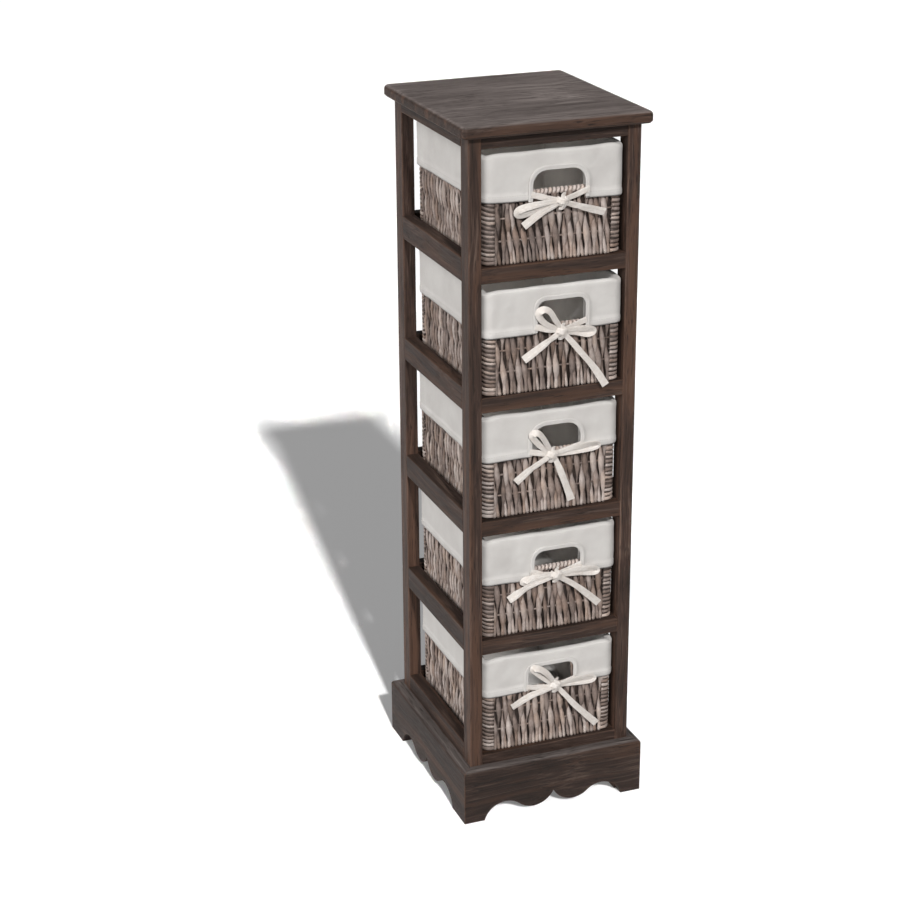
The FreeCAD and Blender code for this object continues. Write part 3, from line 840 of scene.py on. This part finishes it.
def corner_coil(husk, half_depth, half_height):
    """One turn of husk round a corner, or the core under the turns.

    The corner's axis is Z, and it faces -X and -Y.
    """
    middle = husk.wall * 0.5 - husk.corner_radius
    start = Matrix.Translation((middle, 0, 0)) @ Matrix.Rotation(math.pi / 2, 4, "X")
    section = start @ Matrix.Diagonal((half_depth, half_height, 1, 1))
    places = [Matrix.Translation((0, husk.coil_reach, 0)) @ section]
    places += [Matrix.Rotation(quarter_arc(step), 4, "Z") @ section for step in range(ARC_STEPS + 1)]
    places.append(Matrix.Translation((husk.coil_reach, 0, 0)) @ places[-1])
    return pattern_of(husk_bar(places), lambda co: co.z, lambda co: co.x - co.y)


def edge_coil():
    """One turn of husk round the wire of the handle hole's lower edge, which runs along X."""
    outer = EDGE_TURN + EDGE_HUSK
    bm = bmesh.new()
    bmesh.ops.create_circle(
        bm, radius=EDGE_HUSK, segments=5, matrix=Matrix.Translation((0, EDGE_TURN, 0)))
    bmesh.ops.spin(bm, geom=bm.edges[:], axis=(1, 0, 0), angle=2 * math.pi, steps=10, use_merge=True)
    bmesh.ops.recalc_face_normals(bm, faces=bm.faces)
    return pattern_of(bm, lambda co: co.x, lambda co: outer * math.atan2(co.z, co.y))


def straight_wire(half_length):
    """A husk-wrapped wire along X."""
    along = Matrix.Rotation(math.pi / 2, 4, "Y")
    places = [Matrix.Translation((end, 0, 0)) @ along for end in (-half_length, half_length)]
    return pattern_of(husk_bar(places, WIRE_RADIUS), lambda co: co.z, lambda co: co.x)


def rounded_plate(space, height, offset, spacing):
    """A flat plate with the basket's plan, with points along its edge. Its corners are round."""
    reach = space.reach(height, offset)
    half_x = space.core[0] + reach
    half_y = space.core[1] + reach
    bm = bmesh.new()
    bmesh.ops.create_grid(
        bm, x_segments=1, y_segments=1, size=1,
        matrix=Matrix.Translation((0, 0, height)) @ Matrix.Diagonal((half_x, half_y, 1, 1)))
    bmesh.ops.bevel(
        bm, geom=bm.verts[:], offset=reach, offset_type="OFFSET", affect="VERTICES",
        segments=ARC_STEPS, profile=0.5, material=-1)
    for length in (space.core[0] * 2, space.core[1] * 2):
        sides = [edge for edge in bm.edges if abs(edge.calc_length() - length) < SAME_LENGTH]
        bmesh.ops.subdivide_edges(bm, edges=sides, cuts=round(length / spacing))
    return bm


def raise_wall(bm, space, levels):
    """Extrude the open edge of a sheet through levels.

    Each level is an offset and a function that gives a height at a point in plan.
    """
    ring = [edge for edge in bm.edges if edge.is_boundary]
    for offset, height_at in levels:
        made = bmesh.ops.extrude_edge_only(bm, edges=ring)["geom"]
        ring = [part for part in made if isinstance(part, bmesh.types.BMEdge)]
        for vert in [part for part in made if isinstance(part, bmesh.types.BMVert)]:
            near, out = space.outward(vert.co)
            height = height_at(vert.co)
            vert.co.xy = near + out * space.reach(min(height, space.height), offset)
            vert.co.z = height


def arch_planes(centre, half_width, top, foot, radius):
    """The planes round an arched opening in the front, each a point and the way out of the opening."""
    planes = [
        (Vector((centre - half_width, 0, 0)), Vector((-1, 0, 0))),
        (Vector((centre + half_width, 0, 0)), Vector((1, 0, 0))),
        (Vector((0, 0, top)), Vector((0, 0, 1))),
        (Vector((0, 0, foot)), Vector((0, 0, -1))),
    ]
    for side in (-1, 1):
        for step in range(1, ARC_STEPS):
            turn = quarter_arc(step)
            out = Vector((side * math.cos(turn), 0, math.sin(turn)))
            middle = Vector((centre + side * (half_width - radius), 0, top - radius))
            planes.append((middle + out * radius, out))
    return planes


def open_arch(bm, belongs, planes):
    """Cut an arched opening through the faces that belong to one layer of the front."""
    def layer():
        return [face for face in bm.faces if belongs(face.calc_center_median())]

    for point, out in planes:
        faces = layer()
        edges = {edge for face in faces for edge in face.edges}
        verts = {vert for face in faces for vert in face.verts}
        bmesh.ops.bisect_plane(bm, geom=[*faces, *edges, *verts], dist=ON_CUT, plane_co=point, plane_no=out)
    inside = []
    for face in layer():
        middle = face.calc_center_median()
        if all((middle - point).dot(out) < 0 for point, out in planes):
            inside.append(face)
    bmesh.ops.delete(bm, geom=inside, context="FACES")


def painted_shade_wall(space):
    """The inner side of the weave, a sheet behind the strands made dark as painted shade, open at the handle
    hole.
    """
    back = INNER_GAP - space.wall
    bm = rounded_plate(space, INNER_FOOT, back, INNER_SPACING)
    raise_wall(bm, space, [(back, lambda co: INNER_LOWER), (back, lambda co: space.weave_top)])
    planes = arch_planes(
        space.handle_x, space.hole_half + INNER_MARGIN, space.hole_top + INNER_MARGIN,
        space.edge_wire, space.hole_radius)
    open_arch(bm, lambda co: co.y < -space.core[1] and co.z > INNER_LOWER, planes)
    bmesh.ops.solidify(bm, geom=bm.faces[:], thickness=INNER_THICKNESS)
    return pattern_of(bm, lambda co: co.x + co.y, lambda co: co.z)


class Weave:
    """The woven shell of one basket in the making: copies of husk pieces, each with its own tone."""

    def __init__(self, space, husk):
        self.space = space
        self.husk = husk
        self.chance = random.Random(space.tier)
        self.wires = (husk.wire_height, husk.wire_height + husk.wire_spacing)
        self.tall = []
        self.short = []
        for over in self.wires:
            for slip in (-STRAND_SLIP, 0.0, STRAND_SLIP):
                knob = husk.knob + slip
                self.tall.append(husk_strand(husk, over + slip, space.weave_top, knob))
                self.short.append(husk_strand(husk, over + slip, space.edge_wire, knob))
        self.bm = bmesh.new()
        self.bm.verts.layers.float.new("tone")
        self.bm.loops.layers.uv.new("fibre")

    def add(self, pattern, matrix, tone):
        """Add one copy of a pattern, with its own tone and its own part of the fibre pattern."""
        bm = self.bm
        shift = Vector((self.chance.uniform(0, 3), self.chance.uniform(0, 3)))
        first_vert = len(bm.verts)
        first_face = len(bm.faces)
        bm.from_mesh(pattern)
        bm.verts.ensure_lookup_table()
        bm.faces.ensure_lookup_table()
        verts = bm.verts[first_vert:]
        bmesh.ops.transform(bm, matrix=matrix, verts=verts)
        tones = bm.verts.layers.float["tone"]
        fibre = bm.loops.layers.uv["fibre"]
        for vert in verts:
            vert[tones] += tone
        for face in bm.faces[first_face:]:
            for loop in face.loops:
                loop[fibre].uv += shift

    def stand_strands(self):
        """The four walls: upright strands, and the wires that they wind round."""
        space, husk, chance = self.space, self.husk, self.chance
        tilt = Matrix.Rotation(math.atan(space.taper / space.height), 4, "X")
        for quarter in range(4):
            turn = Matrix.Rotation(quarter * math.pi / 2, 4, "Z")
            run, depth = space.core[0], space.half_y
            if quarter % 2:
                run, depth = space.core[1], space.half_x
            run -= husk.coil_reach
            wire = straight_wire(run)
            for height in self.wires:
                spot = Matrix.Translation((0, space.wall / 2 - depth - space.lean(height), height))
                self.add(wire, turn @ spot, chance.uniform(*WIRE_TONES))
            count = round(2 * run / husk.strand_pitch)
            for index in range(count):
                across = -run + 2 * run * (index + 0.5) / count
                in_hole = quarter == 0 and abs(across - space.handle_x) < space.hole_half + SHORT_SIDE
                strands = self.short if in_hole else self.tall
                pattern = strands[index % 2 * 3 + chance.randrange(3)]
                together = noise.noise(Vector((across * 16, quarter * 3.7, space.tier * 9.1)))
                degrees = LEAN_TOGETHER * together + chance.gauss(LEAN_MEAN, LEAN_SPREAD)
                lean = Matrix.Rotation(math.radians(degrees), 4, "Y")
                size = Matrix.Diagonal((chance.uniform(*STRAND_SIZES), 1, 1, 1))
                slip = chance.uniform(-STRAND_PLAY, STRAND_PLAY)
                spot = Matrix.Translation((across + slip, space.taper - depth, 0))
                self.add(pattern, turn @ spot @ tilt @ lean @ size, chance.uniform(*HUSK_TONES))

    def wind_corners(self):
        """The turns of husk round the four corners, and the cores under them."""
        space, husk, chance = self.space, self.husk, self.chance
        coil = corner_coil(husk, husk.wall * TURN_DEPTH, husk.coil_pitch * TURN_HEIGHT)
        core_middle = space.hole_edge / 2
        core = corner_coil(husk, husk.wall * CORE_DEPTH, core_middle)
        for quarter, sides in enumerate(((-1, -1), (1, -1), (1, 1), (-1, 1))):
            turn = Matrix.Rotation(quarter * math.pi / 2, 4, "Z")
            for index in range(round(space.weave_top / husk.coil_pitch)):
                height = FIRST_TURN + index * husk.coil_pitch
                out = space.lean(height) + TURN_OUT * (1 - height / space.height)
                # The lowest turns lie flatter, so that they stay above the foot
                steep = min(1.0, index / FLATTER_TURNS)
                slope = Matrix.Rotation(math.radians(chance.uniform(*TURN_SLOPES)) * steep, 4, (-1, -1, 0))
                size = Matrix.Diagonal((1, 1, chance.uniform(*TURN_SIZES), 1))
                place = space.corner(*sides, out, height) @ turn @ slope @ size
                self.add(coil, place, chance.uniform(*HUSK_TONES))
            # The core under the turns is darkened as painted shade, showing as dark lines between them
            spot = space.corner(*sides, space.lean(core_middle) + CORE_OUT, core_middle + CORE_FOOT)
            self.add(core, spot @ turn, CORE_SHADE_TONE)

    def lay_floor(self):
        """The basket's floor: strands that lie side by side from front to back."""
        space, husk = self.space, self.husk
        back = space.half_y - space.taper - FLOOR_INSET
        flat = Matrix.Rotation(math.pi / 2, 4, "X")
        size = Matrix.Diagonal((1, FLOOR_PRESS, 2 * back / space.weave_top, 1))
        for index in range(round(2 * space.core[0] / husk.strand_pitch)):
            across = -space.core[0] + husk.strand_pitch * (index + 0.5)
            spot = Matrix.Translation((across, back, FLOOR_LIFT))
            self.add(self.tall[index % 2], spot @ flat @ size, self.chance.uniform(*FLOOR_TONES))

    def wind_hole_edge(self):
        """The turns of husk along the lower edge of the handle hole."""
        space = self.space
        wound = edge_coil()
        depth = space.front(space.hole_edge, -space.wall / 2)
        turns = round(2 * (space.hole_half + EDGE_END) / EDGE_PITCH)
        for index in range(turns):
            across = space.handle_x + (index - (turns - 1) / 2) * EDGE_PITCH
            spot = Matrix.Translation((across, depth, space.edge_wire))
            slope = Matrix.Rotation(math.radians(self.chance.uniform(*EDGE_SLOPES)), 4, "Y")
            self.add(wound, spot @ slope, self.chance.uniform(*EDGE_TONES))


def weave_basket(space, husk):
    """The whole woven shell of one basket, with the inner wall behind its strands made dark as painted
    shade.
    """
    weave = Weave(space, husk)
    weave.stand_strands()
    weave.wind_corners()
    weave.lay_floor()
    weave.wind_hole_edge()
    weave.add(painted_shade_wall(space), Matrix.Identity(4), INNER_SHADE_TONE)
    return weave.bm


def plan_wave(co, scale, seed):
    """A soft wave in plan, between -1 and 1."""
    return noise.noise(Vector((co.x * scale, co.y * scale, seed)))


def sew_liner(space, liner):
    """The cloth of one liner: a bag, a soft fold over the rim and a flap with an arched cut-out."""
    inside = -space.wall - LINER_INSIDE
    outside = LINER_OUTSIDE
    fold = (outside - inside) / 2
    fold_foot = space.height + LINER_ABOVE - fold
    bag_foot = space.wall + LINER_FLOOR

    def edge_at(co):
        return space.flap_edge(co.x) + EDGE_WAVE * plan_wave(co, 28, space.tier * 7.3)

    def rim_drop(co):
        across = abs(co.x) / space.half_x
        deep = abs(co.y) / space.half_y
        hang = liner.sag * (1 - min(across, deep) ** 2)
        corner = CORNER_DROP * max(0.0, 2 * min(across, deep) - 1) ** 5
        return MM * RIM_SLIPS[space.tier] + hang + corner + RIM_WAVE * plan_wave(co, 22, space.tier * 4.7)

    def even(height):
        return lambda co: height

    def drop(share, above):
        return lambda co: fold_foot + (edge_at(co) + above - fold_foot) * share

    bag_rows = range(1, BAG_ROWS + 1)
    levels = [(inside, even(bag_foot + (fold_foot - bag_foot) * row / BAG_ROWS)) for row in bag_rows]
    for row in range(1, FOLD_ROWS):
        turn = math.pi * row / FOLD_ROWS
        levels.append((inside + fold - fold * math.cos(turn), even(fold_foot + fold * math.sin(turn))))
    levels += [(outside, drop(row / FLAP_ROWS, liner.hem)) for row in range(FLAP_ROWS + 1)]
    # The hem stands out from the flap and turns in under itself
    hem = (
        (0.0007, liner.hem - 0.0008),
        (0.0008, liner.hem * 0.6),
        (0.0008, liner.hem * 0.25),
        (0.0004, 0.0),
        (-0.0004, 0.0006),
    )
    levels += [(outside + out, drop(1, above)) for out, above in hem]
    bm = rounded_plate(space, bag_foot, inside, LINER_SPACING)
    raise_wall(bm, space, levels)

    # The flap is cut down through its hem, and the bag behind it only as far as the hole's foot
    sizes = (space.hole_half, space.hole_top)
    hole = arch_planes(space.handle_x, *sizes, liner.cut_foot, space.hole_radius)
    gate = arch_planes(space.handle_x, *sizes, 0.0, space.hole_radius)
    parting = -(space.half_y - space.wall / 2 - space.taper / 2)

    def near_cut(co):
        beside = abs(co.x - space.handle_x) < space.hole_half + CUT_BESIDE
        return beside and co.z < space.hole_top + CUT_ABOVE

    def in_flap(co):
        return co.y < parting and near_cut(co)

    def in_bag(co):
        return parting < co.y < -space.core[1] and near_cut(co) and co.z > liner.cut_foot - CUT_BELOW

    open_arch(bm, in_flap, gate)
    open_arch(bm, in_bag, hole)

    # Soft creases, and the drop of the fold
    bend_foot = space.hole_top + BEND_ABOVE
    above_edge = bm.verts.layers.float.new("above_edge")
    along_edge = bm.verts.layers.float.new("along_edge")
    for vert in bm.verts:
        near, out = space.outward(vert.co)
        outer = (vert.co.xy - near).length > space.reach(vert.co.z, -space.wall / 2)
        vert[above_edge] = vert.co.z - edge_at(vert.co) if outer else 1.0
        vert[along_edge] = vert.co.x + vert.co.y + 0.4
        soft = noise.noise(vert.co * 21 + Vector((space.tier * 3.1, 0, 0)))
        soft += 0.6 * noise.noise(vert.co * 47)
        near_rim = max(0.0, vert.co.z - bend_foot) / (space.height - bend_foot)
        if outer:
            vert.co.xy += out * liner.crease * 0.7 * (soft + 0.6)
        elif bag_foot + 0.004 < vert.co.z < fold_foot:
            vert.co.xy -= out * liner.crease * 0.8 * (soft + 0.9)
        vert.co.z -= rim_drop(vert.co) * min(near_rim, 1.0)
    bmesh.ops.solidify(bm, geom=bm.faces[:], thickness=liner.thickness)
    bmesh.ops.recalc_face_normals(bm, faces=bm.faces)
    return bm


def smooth_path(points, steps):
    """Points along a smooth line through the given ones."""
    ends = [points[0] * 2 - points[1], *points, points[-1] * 2 - points[-2]]
    path = []
    for index in range(1, len(ends) - 2):
        before, start, end, after = ends[index - 1:index + 3]
        for step in range(steps):
            t = step / steps
            path.append(start + 0.5 * t * (end - before + t * (
                2 * before - 5 * start + 4 * end - after + t * (3 * (start - end) + after - before))))
    path.append(points[-1])
    return path


def add_tape(bm, path, edgeways, widths, thickness):
    """Lay a flat tape along a path.

    The edgeways values say how far it stands on edge, from 0 (flat) to 1.
    """
    strip = bmesh.new()
    places = []
    for index, point in enumerate(path):
        run = (path[min(index + 1, len(path) - 1)] - path[max(index - 1, 0)]).normalized()
        flat = run.cross(Vector((0, -1, 0))).normalized()
        stand = run.cross(flat).normalized()
        turn = edgeways[index] * math.pi / 2
        across = (flat * math.cos(turn) + stand * math.sin(turn)).normalized()
        place = Matrix((across, across.cross(run), run)).transposed().to_4x4()
        place.translation = point
        places.append(place @ Matrix.Diagonal((widths[index] / 2, thickness, 1, 1)))
    strip.faces.new([strip.verts.new(places[0] @ Vector((x, y, 0))) for x, y in TAPE_SECTION])
    carry_section(strip, places)
    mesh = bpy.data.meshes.new("strip")
    strip.to_mesh(mesh)
    strip.free()
    bm.from_mesh(mesh)
    bpy.data.meshes.remove(mesh)


def tie_bow(space, bow):
    """The tied tape of one basket: ties, tails and loops, gathered at the knot, and the knot's bands."""
    plan = BOWS[space.tier]
    knot_x, knot_height = plan["knot"]
    bm = bmesh.new()

    def spot(x, height, lift):
        return Vector((x * MM, space.front(height * MM, lift * MM), height * MM))

    def lay(strip, most, spread):
        path = smooth_path([spot(*point) for point in strip], STRIP_STEPS)
        edgeways = []
        widths = []
        for index in range(len(path)):
            share = index / (len(path) - 1)
            crumple = noise.noise(Vector((share * 4.5, strip[-1][0] * 0.3, space.tier * 2.9)))
            edgeways.append(most * math.sin(math.pi * share) ** 2 + 0.25 * crumple)
            widths.append(bow.width * (spread(share) + 0.14 * crumple))
        add_tape(bm, path, edgeways, widths, bow.thickness)

    for strip in plan["ties"]:
        lay(strip, 0.0, lambda share: 0.62 + 0.2 * share)
    for strip in plan["tails"]:
        lay(strip, 0.1, lambda share: 0.56 + 0.46 * share ** 0.7)
    for strip in plan["loops"]:
        tall = max(height for _, height, _ in strip) - knot_height > TALL_LOOP
        lay(strip, 0.45 if tall else 0.2, lambda share: 0.55 + 0.42 * math.sin(math.pi * share))
    for band, share in KNOT_BANDS:
        points = [spot(knot_x + along, knot_height + up, lift) for along, up, lift in band]
        path = smooth_path(points, BAND_STEPS)
        widths = [bow.width * share] * len(path)
        add_tape(bm, path, [0.0] * len(path), widths, bow.thickness * BAND_THICKENING)
    return bm


def bind_arch(space, liner):
    """The binding round the liner's cut-out."""
    grow = liner.binding * BINDING_OUT
    half_width = space.hole_half + grow
    top = space.hole_top + grow
    radius = space.hole_radius + grow
    foot = space.flap_edge(space.handle_x) + BINDING_FOOT
    line = [(-half_width, foot), (-half_width, (foot + top - radius) / 2), (-half_width, top - radius)]
    for step in range(1, ARC_STEPS):
        turn = quarter_arc(step)
        across = -half_width + radius - radius * math.cos(turn)
        line.append((across, top - radius + radius * math.sin(turn)))
    line += [(-half_width + radius, top), (0, top)]
    line += [(-across, height) for across, height in reversed(line[:-1])]
    path = []
    for across, height in line:
        path.append(Vector((space.handle_x + across, space.front(height, BINDING_LIFT), height)))
    bm = bmesh.new()
    add_tape(bm, path, [0.0] * len(path), [liner.binding] * len(path), BINDING_THICKNESS)
    return bm


# Stage

def lay_floor(studio):
    """The floor, which glows a little and gives no soft light back to the rack."""
    bm = bmesh.new()
    bmesh.ops.create_grid(bm, x_segments=1, y_segments=1, size=FLOOR_HALF)
    mesh = bpy.data.meshes.new("floor")
    bm.to_mesh(mesh)
    bm.free()
    paint = Finish("floor_paint")
    paint.feed(paint.shader, {
        "Base Color": opaque(studio.floor), "Roughness": 0.9, "Specular IOR Level": 0.1,
        "Emission Color": (1, 1, 1, 1), "Emission Strength": studio.glow})
    mesh.materials.append(paint.material)
    floor = bpy.data.objects.new("floor", mesh)
    bpy.context.scene.collection.objects.link(floor)
    floor.visible_diffuse = False
    return floor


def set_suns(studio, floor):
    """The main light, more of it for the floor alone, and a broad side light that leaves out the floor."""
    floor_alone = bpy.data.collections.new("floor_alone")
    floor_alone.objects.link(floor)
    all_but_floor = bpy.data.collections.new("all_but_floor")
    all_but_floor.objects.link(floor)
    all_but_floor.collection_objects[0].light_linking.link_state = "EXCLUDE"
    for name, energy, width, source, lit in (
        ("key", studio.key, MAIN_WIDTH, MAIN_LIGHT, None),
        ("floor_key", studio.floor_key, MAIN_WIDTH, MAIN_LIGHT, floor_alone),
        ("side", studio.side, SIDE_WIDTH, SIDE_LIGHT, all_but_floor),
    ):
        light = bpy.data.lights.new(name, "SUN")
        light.energy = energy
        light.angle = math.radians(width)
        lamp = bpy.data.objects.new(name, light)
        lamp.rotation_euler = Vector(source).to_track_quat("Z", "Y").to_euler()
        lamp.light_linking.receiver_collection = lit
        bpy.context.scene.collection.objects.link(lamp)


def set_lamps(studio):
    """A small lamp in each basket, for the light that its liner gathers."""
    for tier in TIERS:
        low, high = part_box(f"basket_{tier}_weave")
        light = bpy.data.lights.new(f"inside_{tier}", "SPOT")
        light.energy = studio.inside * LAMP_FALL ** (TIERS[-1] - tier)
        light.spot_size = math.radians(LAMP_CONE)
        light.spot_blend = 1.0
        light.shadow_soft_size = LAMP_RADIUS
        lamp = bpy.data.objects.new(f"inside_{tier}", light)
        lamp.parent = bpy.data.objects[f"basket_{tier}_cloth"]
        lamp.location = ((low.x + high.x) / 2, (low.y + high.y) / 2 - LAMP_FORWARD, high.z - LAMP_DROP)
        lamp.rotation_euler = Vector(LAMP_BACK).to_track_quat("Z", "Y").to_euler()
        lamp.visible_camera = False
        bpy.context.scene.collection.objects.link(lamp)


def set_room(studio):
    """The light from all around."""
    world = bpy.data.worlds.new("room")
    world.use_nodes = True
    background = world.node_tree.nodes["Background"]
    background.inputs["Color"].default_value = (1, 1, 1, 1)
    background.inputs["Strength"].default_value = studio.room
    bpy.context.scene.world = world


def set_camera(studio):
    """The camera, and colours shown as they are."""
    scene = bpy.context.scene
    lens = bpy.data.cameras.new("camera")
    lens.sensor_width = 36
    lens.lens = studio.lens
    lens.clip_start = 0.1
    camera = bpy.data.objects.new("camera", lens)
    aim = Matrix.Rotation(-studio.turn, 4, "Z") @ Matrix.Rotation(math.pi / 2 - studio.tilt, 4, "X")
    camera.matrix_world = Matrix.Translation(studio.eye) @ aim @ Matrix.Rotation(studio.roll, 4, "Z")
    scene.collection.objects.link(camera)
    scene.camera = camera
    scene.view_settings.view_transform = "Standard"


# Operators

class BASKETSHELF_OT_stain_wood(bpy.types.Operator):
    """Give every wooden piece of the rack its stained finish, with the grain along the piece"""
    bl_idname = "basketshelf.stain_wood"
    bl_label = "Stain Wood"

    def execute(self, context):
        wood = context.scene.basket_shelf.wood
        # Each depth darkens its copy of the stain as painted shade, most on the plinth; faces that look up
        # also get dust and a painted sheen
        finishes = {
            "x": stained_wood("stained_wood_across", 0, wood, depth=0.70),
            "y": stained_wood("stained_wood_deep", 1, wood, depth=0.60),
            "z": stained_wood("stained_wood_upright", 2, wood, depth=0.92),
            "top": stained_wood("stained_wood_top", 0, wood, dust_and_sheen=1.04, depth=0.75),
            "plinth_x": stained_wood("stained_plinth_across", 0, wood, dust_and_sheen=0.6, depth=0.50),
            "plinth_y": stained_wood("stained_plinth_deep", 1, wood, dust_and_sheen=0.6, depth=0.53),
        }
        for name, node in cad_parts.items():
            if name.startswith("basket_"):
                continue
            if name == "top_panel":
                grain = "top"
            elif name.startswith("post_"):
                grain = "z"
            elif name.startswith("plinth_"):
                grain = "plinth_y" if name.endswith(("left", "right")) else "plinth_x"
            elif name.startswith(("left_", "right_")):
                grain = "y"
            else:
                grain = "x"
            node.data.materials.clear()
            node.data.materials.append(finishes[grain])
        return {"FINISHED"}


class BASKETSHELF_OT_weave_baskets(bpy.types.Operator):
    """Weave the five husk baskets"""
    bl_idname = "basketshelf.weave_baskets"
    bl_label = "Weave Baskets"

    def execute(self, context):
        settings = context.scene.basket_shelf
        finish = woven_husk(settings.husk)
        for tier in TIERS:
            space = BasketSpace(tier, settings.husk)
            shell = weave_basket(space, settings.husk)
            piece = finish_piece(f"basket_{tier}_husk", shell, space, finish)
            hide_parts(f"basket_{tier}_weave")
        return {"FINISHED"}


class BASKETSHELF_OT_line_baskets(bpy.types.Operator):
    """Sew the cloth liners, with their bound cut-outs"""
    bl_idname = "basketshelf.line_baskets"
    bl_label = "Line Baskets"

    def execute(self, context):
        settings = context.scene.basket_shelf
        finish = liner_cloth(settings.liner)
        for tier in TIERS:
            space = BasketSpace(tier, settings.husk)
            bag = sew_liner(space, settings.liner)
            lining = finish_piece(f"basket_{tier}_cloth", bag, space, finish)
            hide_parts(f"basket_{tier}_liner")
            arch = bind_arch(space, settings.liner)
            binding = finish_piece(f"basket_{tier}_binding", arch, space, finish)
            binding.data.set_sharp_from_angle(angle=SHARP_EDGE)
        return {"FINISHED"}


class BASKETSHELF_OT_tie_bows(bpy.types.Operator):
    """Tie the tape bows"""
    bl_idname = "basketshelf.tie_bows"
    bl_label = "Tie Bows"

    def execute(self, context):
        settings = context.scene.basket_shelf
        finish = cotton_tape(settings.bow)
        for tier in TIERS:
            space = BasketSpace(tier, settings.husk)
            bow = tie_bow(space, settings.bow)
            knot = finish_piece(f"basket_{tier}_tape", bow, space, finish)
            knot.data.set_sharp_from_angle(angle=SHARP_EDGE)
            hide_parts(f"basket_{tier}_bow")
        return {"FINISHED"}


class BASKETSHELF_OT_set_stage(bpy.types.Operator):
    """Set the floor, the light and the camera"""
    bl_idname = "basketshelf.set_stage"
    bl_label = "Set Stage"

    def execute(self, context):
        studio = context.scene.basket_shelf.studio
        floor = lay_floor(studio)
        set_suns(studio, floor)
        set_lamps(studio)
        set_room(studio)
        set_camera(studio)
        return {"FINISHED"}


class BASKETSHELF_PT_panel(bpy.types.Panel):
    """The sidebar panel that lists the steps"""
    bl_idname = "BASKETSHELF_PT_panel"
    bl_label = "Basket Shelf"
    bl_space_type = "VIEW_3D"
    bl_region_type = "UI"
    bl_category = "Basket Shelf"

    def draw(self, context):
        for operator in OPERATORS:
            self.layout.operator(operator.bl_idname)


OPERATORS = (
    BASKETSHELF_OT_stain_wood,
    BASKETSHELF_OT_weave_baskets,
    BASKETSHELF_OT_line_baskets,
    BASKETSHELF_OT_tie_bows,
    BASKETSHELF_OT_set_stage,
)
SETTINGS = (
    StainedWoodSettings,
    WovenHuskSettings,
    ClothLinerSettings,
    TapeBowSettings,
    StudioSettings,
    BasketShelfSettings,
)


def register():
    """Register the classes and the scene's settings."""
    for kind in (*SETTINGS, *OPERATORS, BASKETSHELF_PT_panel):
        bpy.utils.register_class(kind)
    bpy.types.Scene.basket_shelf = PointerProperty(type=BasketShelfSettings)


def unregister():
    """Take the classes and the settings away again."""
    del bpy.types.Scene.basket_shelf
    for kind in reversed((*SETTINGS, *OPERATORS, BASKETSHELF_PT_panel)):
        bpy.utils.unregister_class(kind)


def main():
    """Dress the rack."""
    register()
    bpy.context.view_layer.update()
    bpy.ops.basketshelf.stain_wood()
    bpy.ops.basketshelf.weave_baskets()
    bpy.ops.basketshelf.line_baskets()
    bpy.ops.basketshelf.tie_bows()
    bpy.ops.basketshelf.set_stage()


if __name__ == "__main__":
    main()
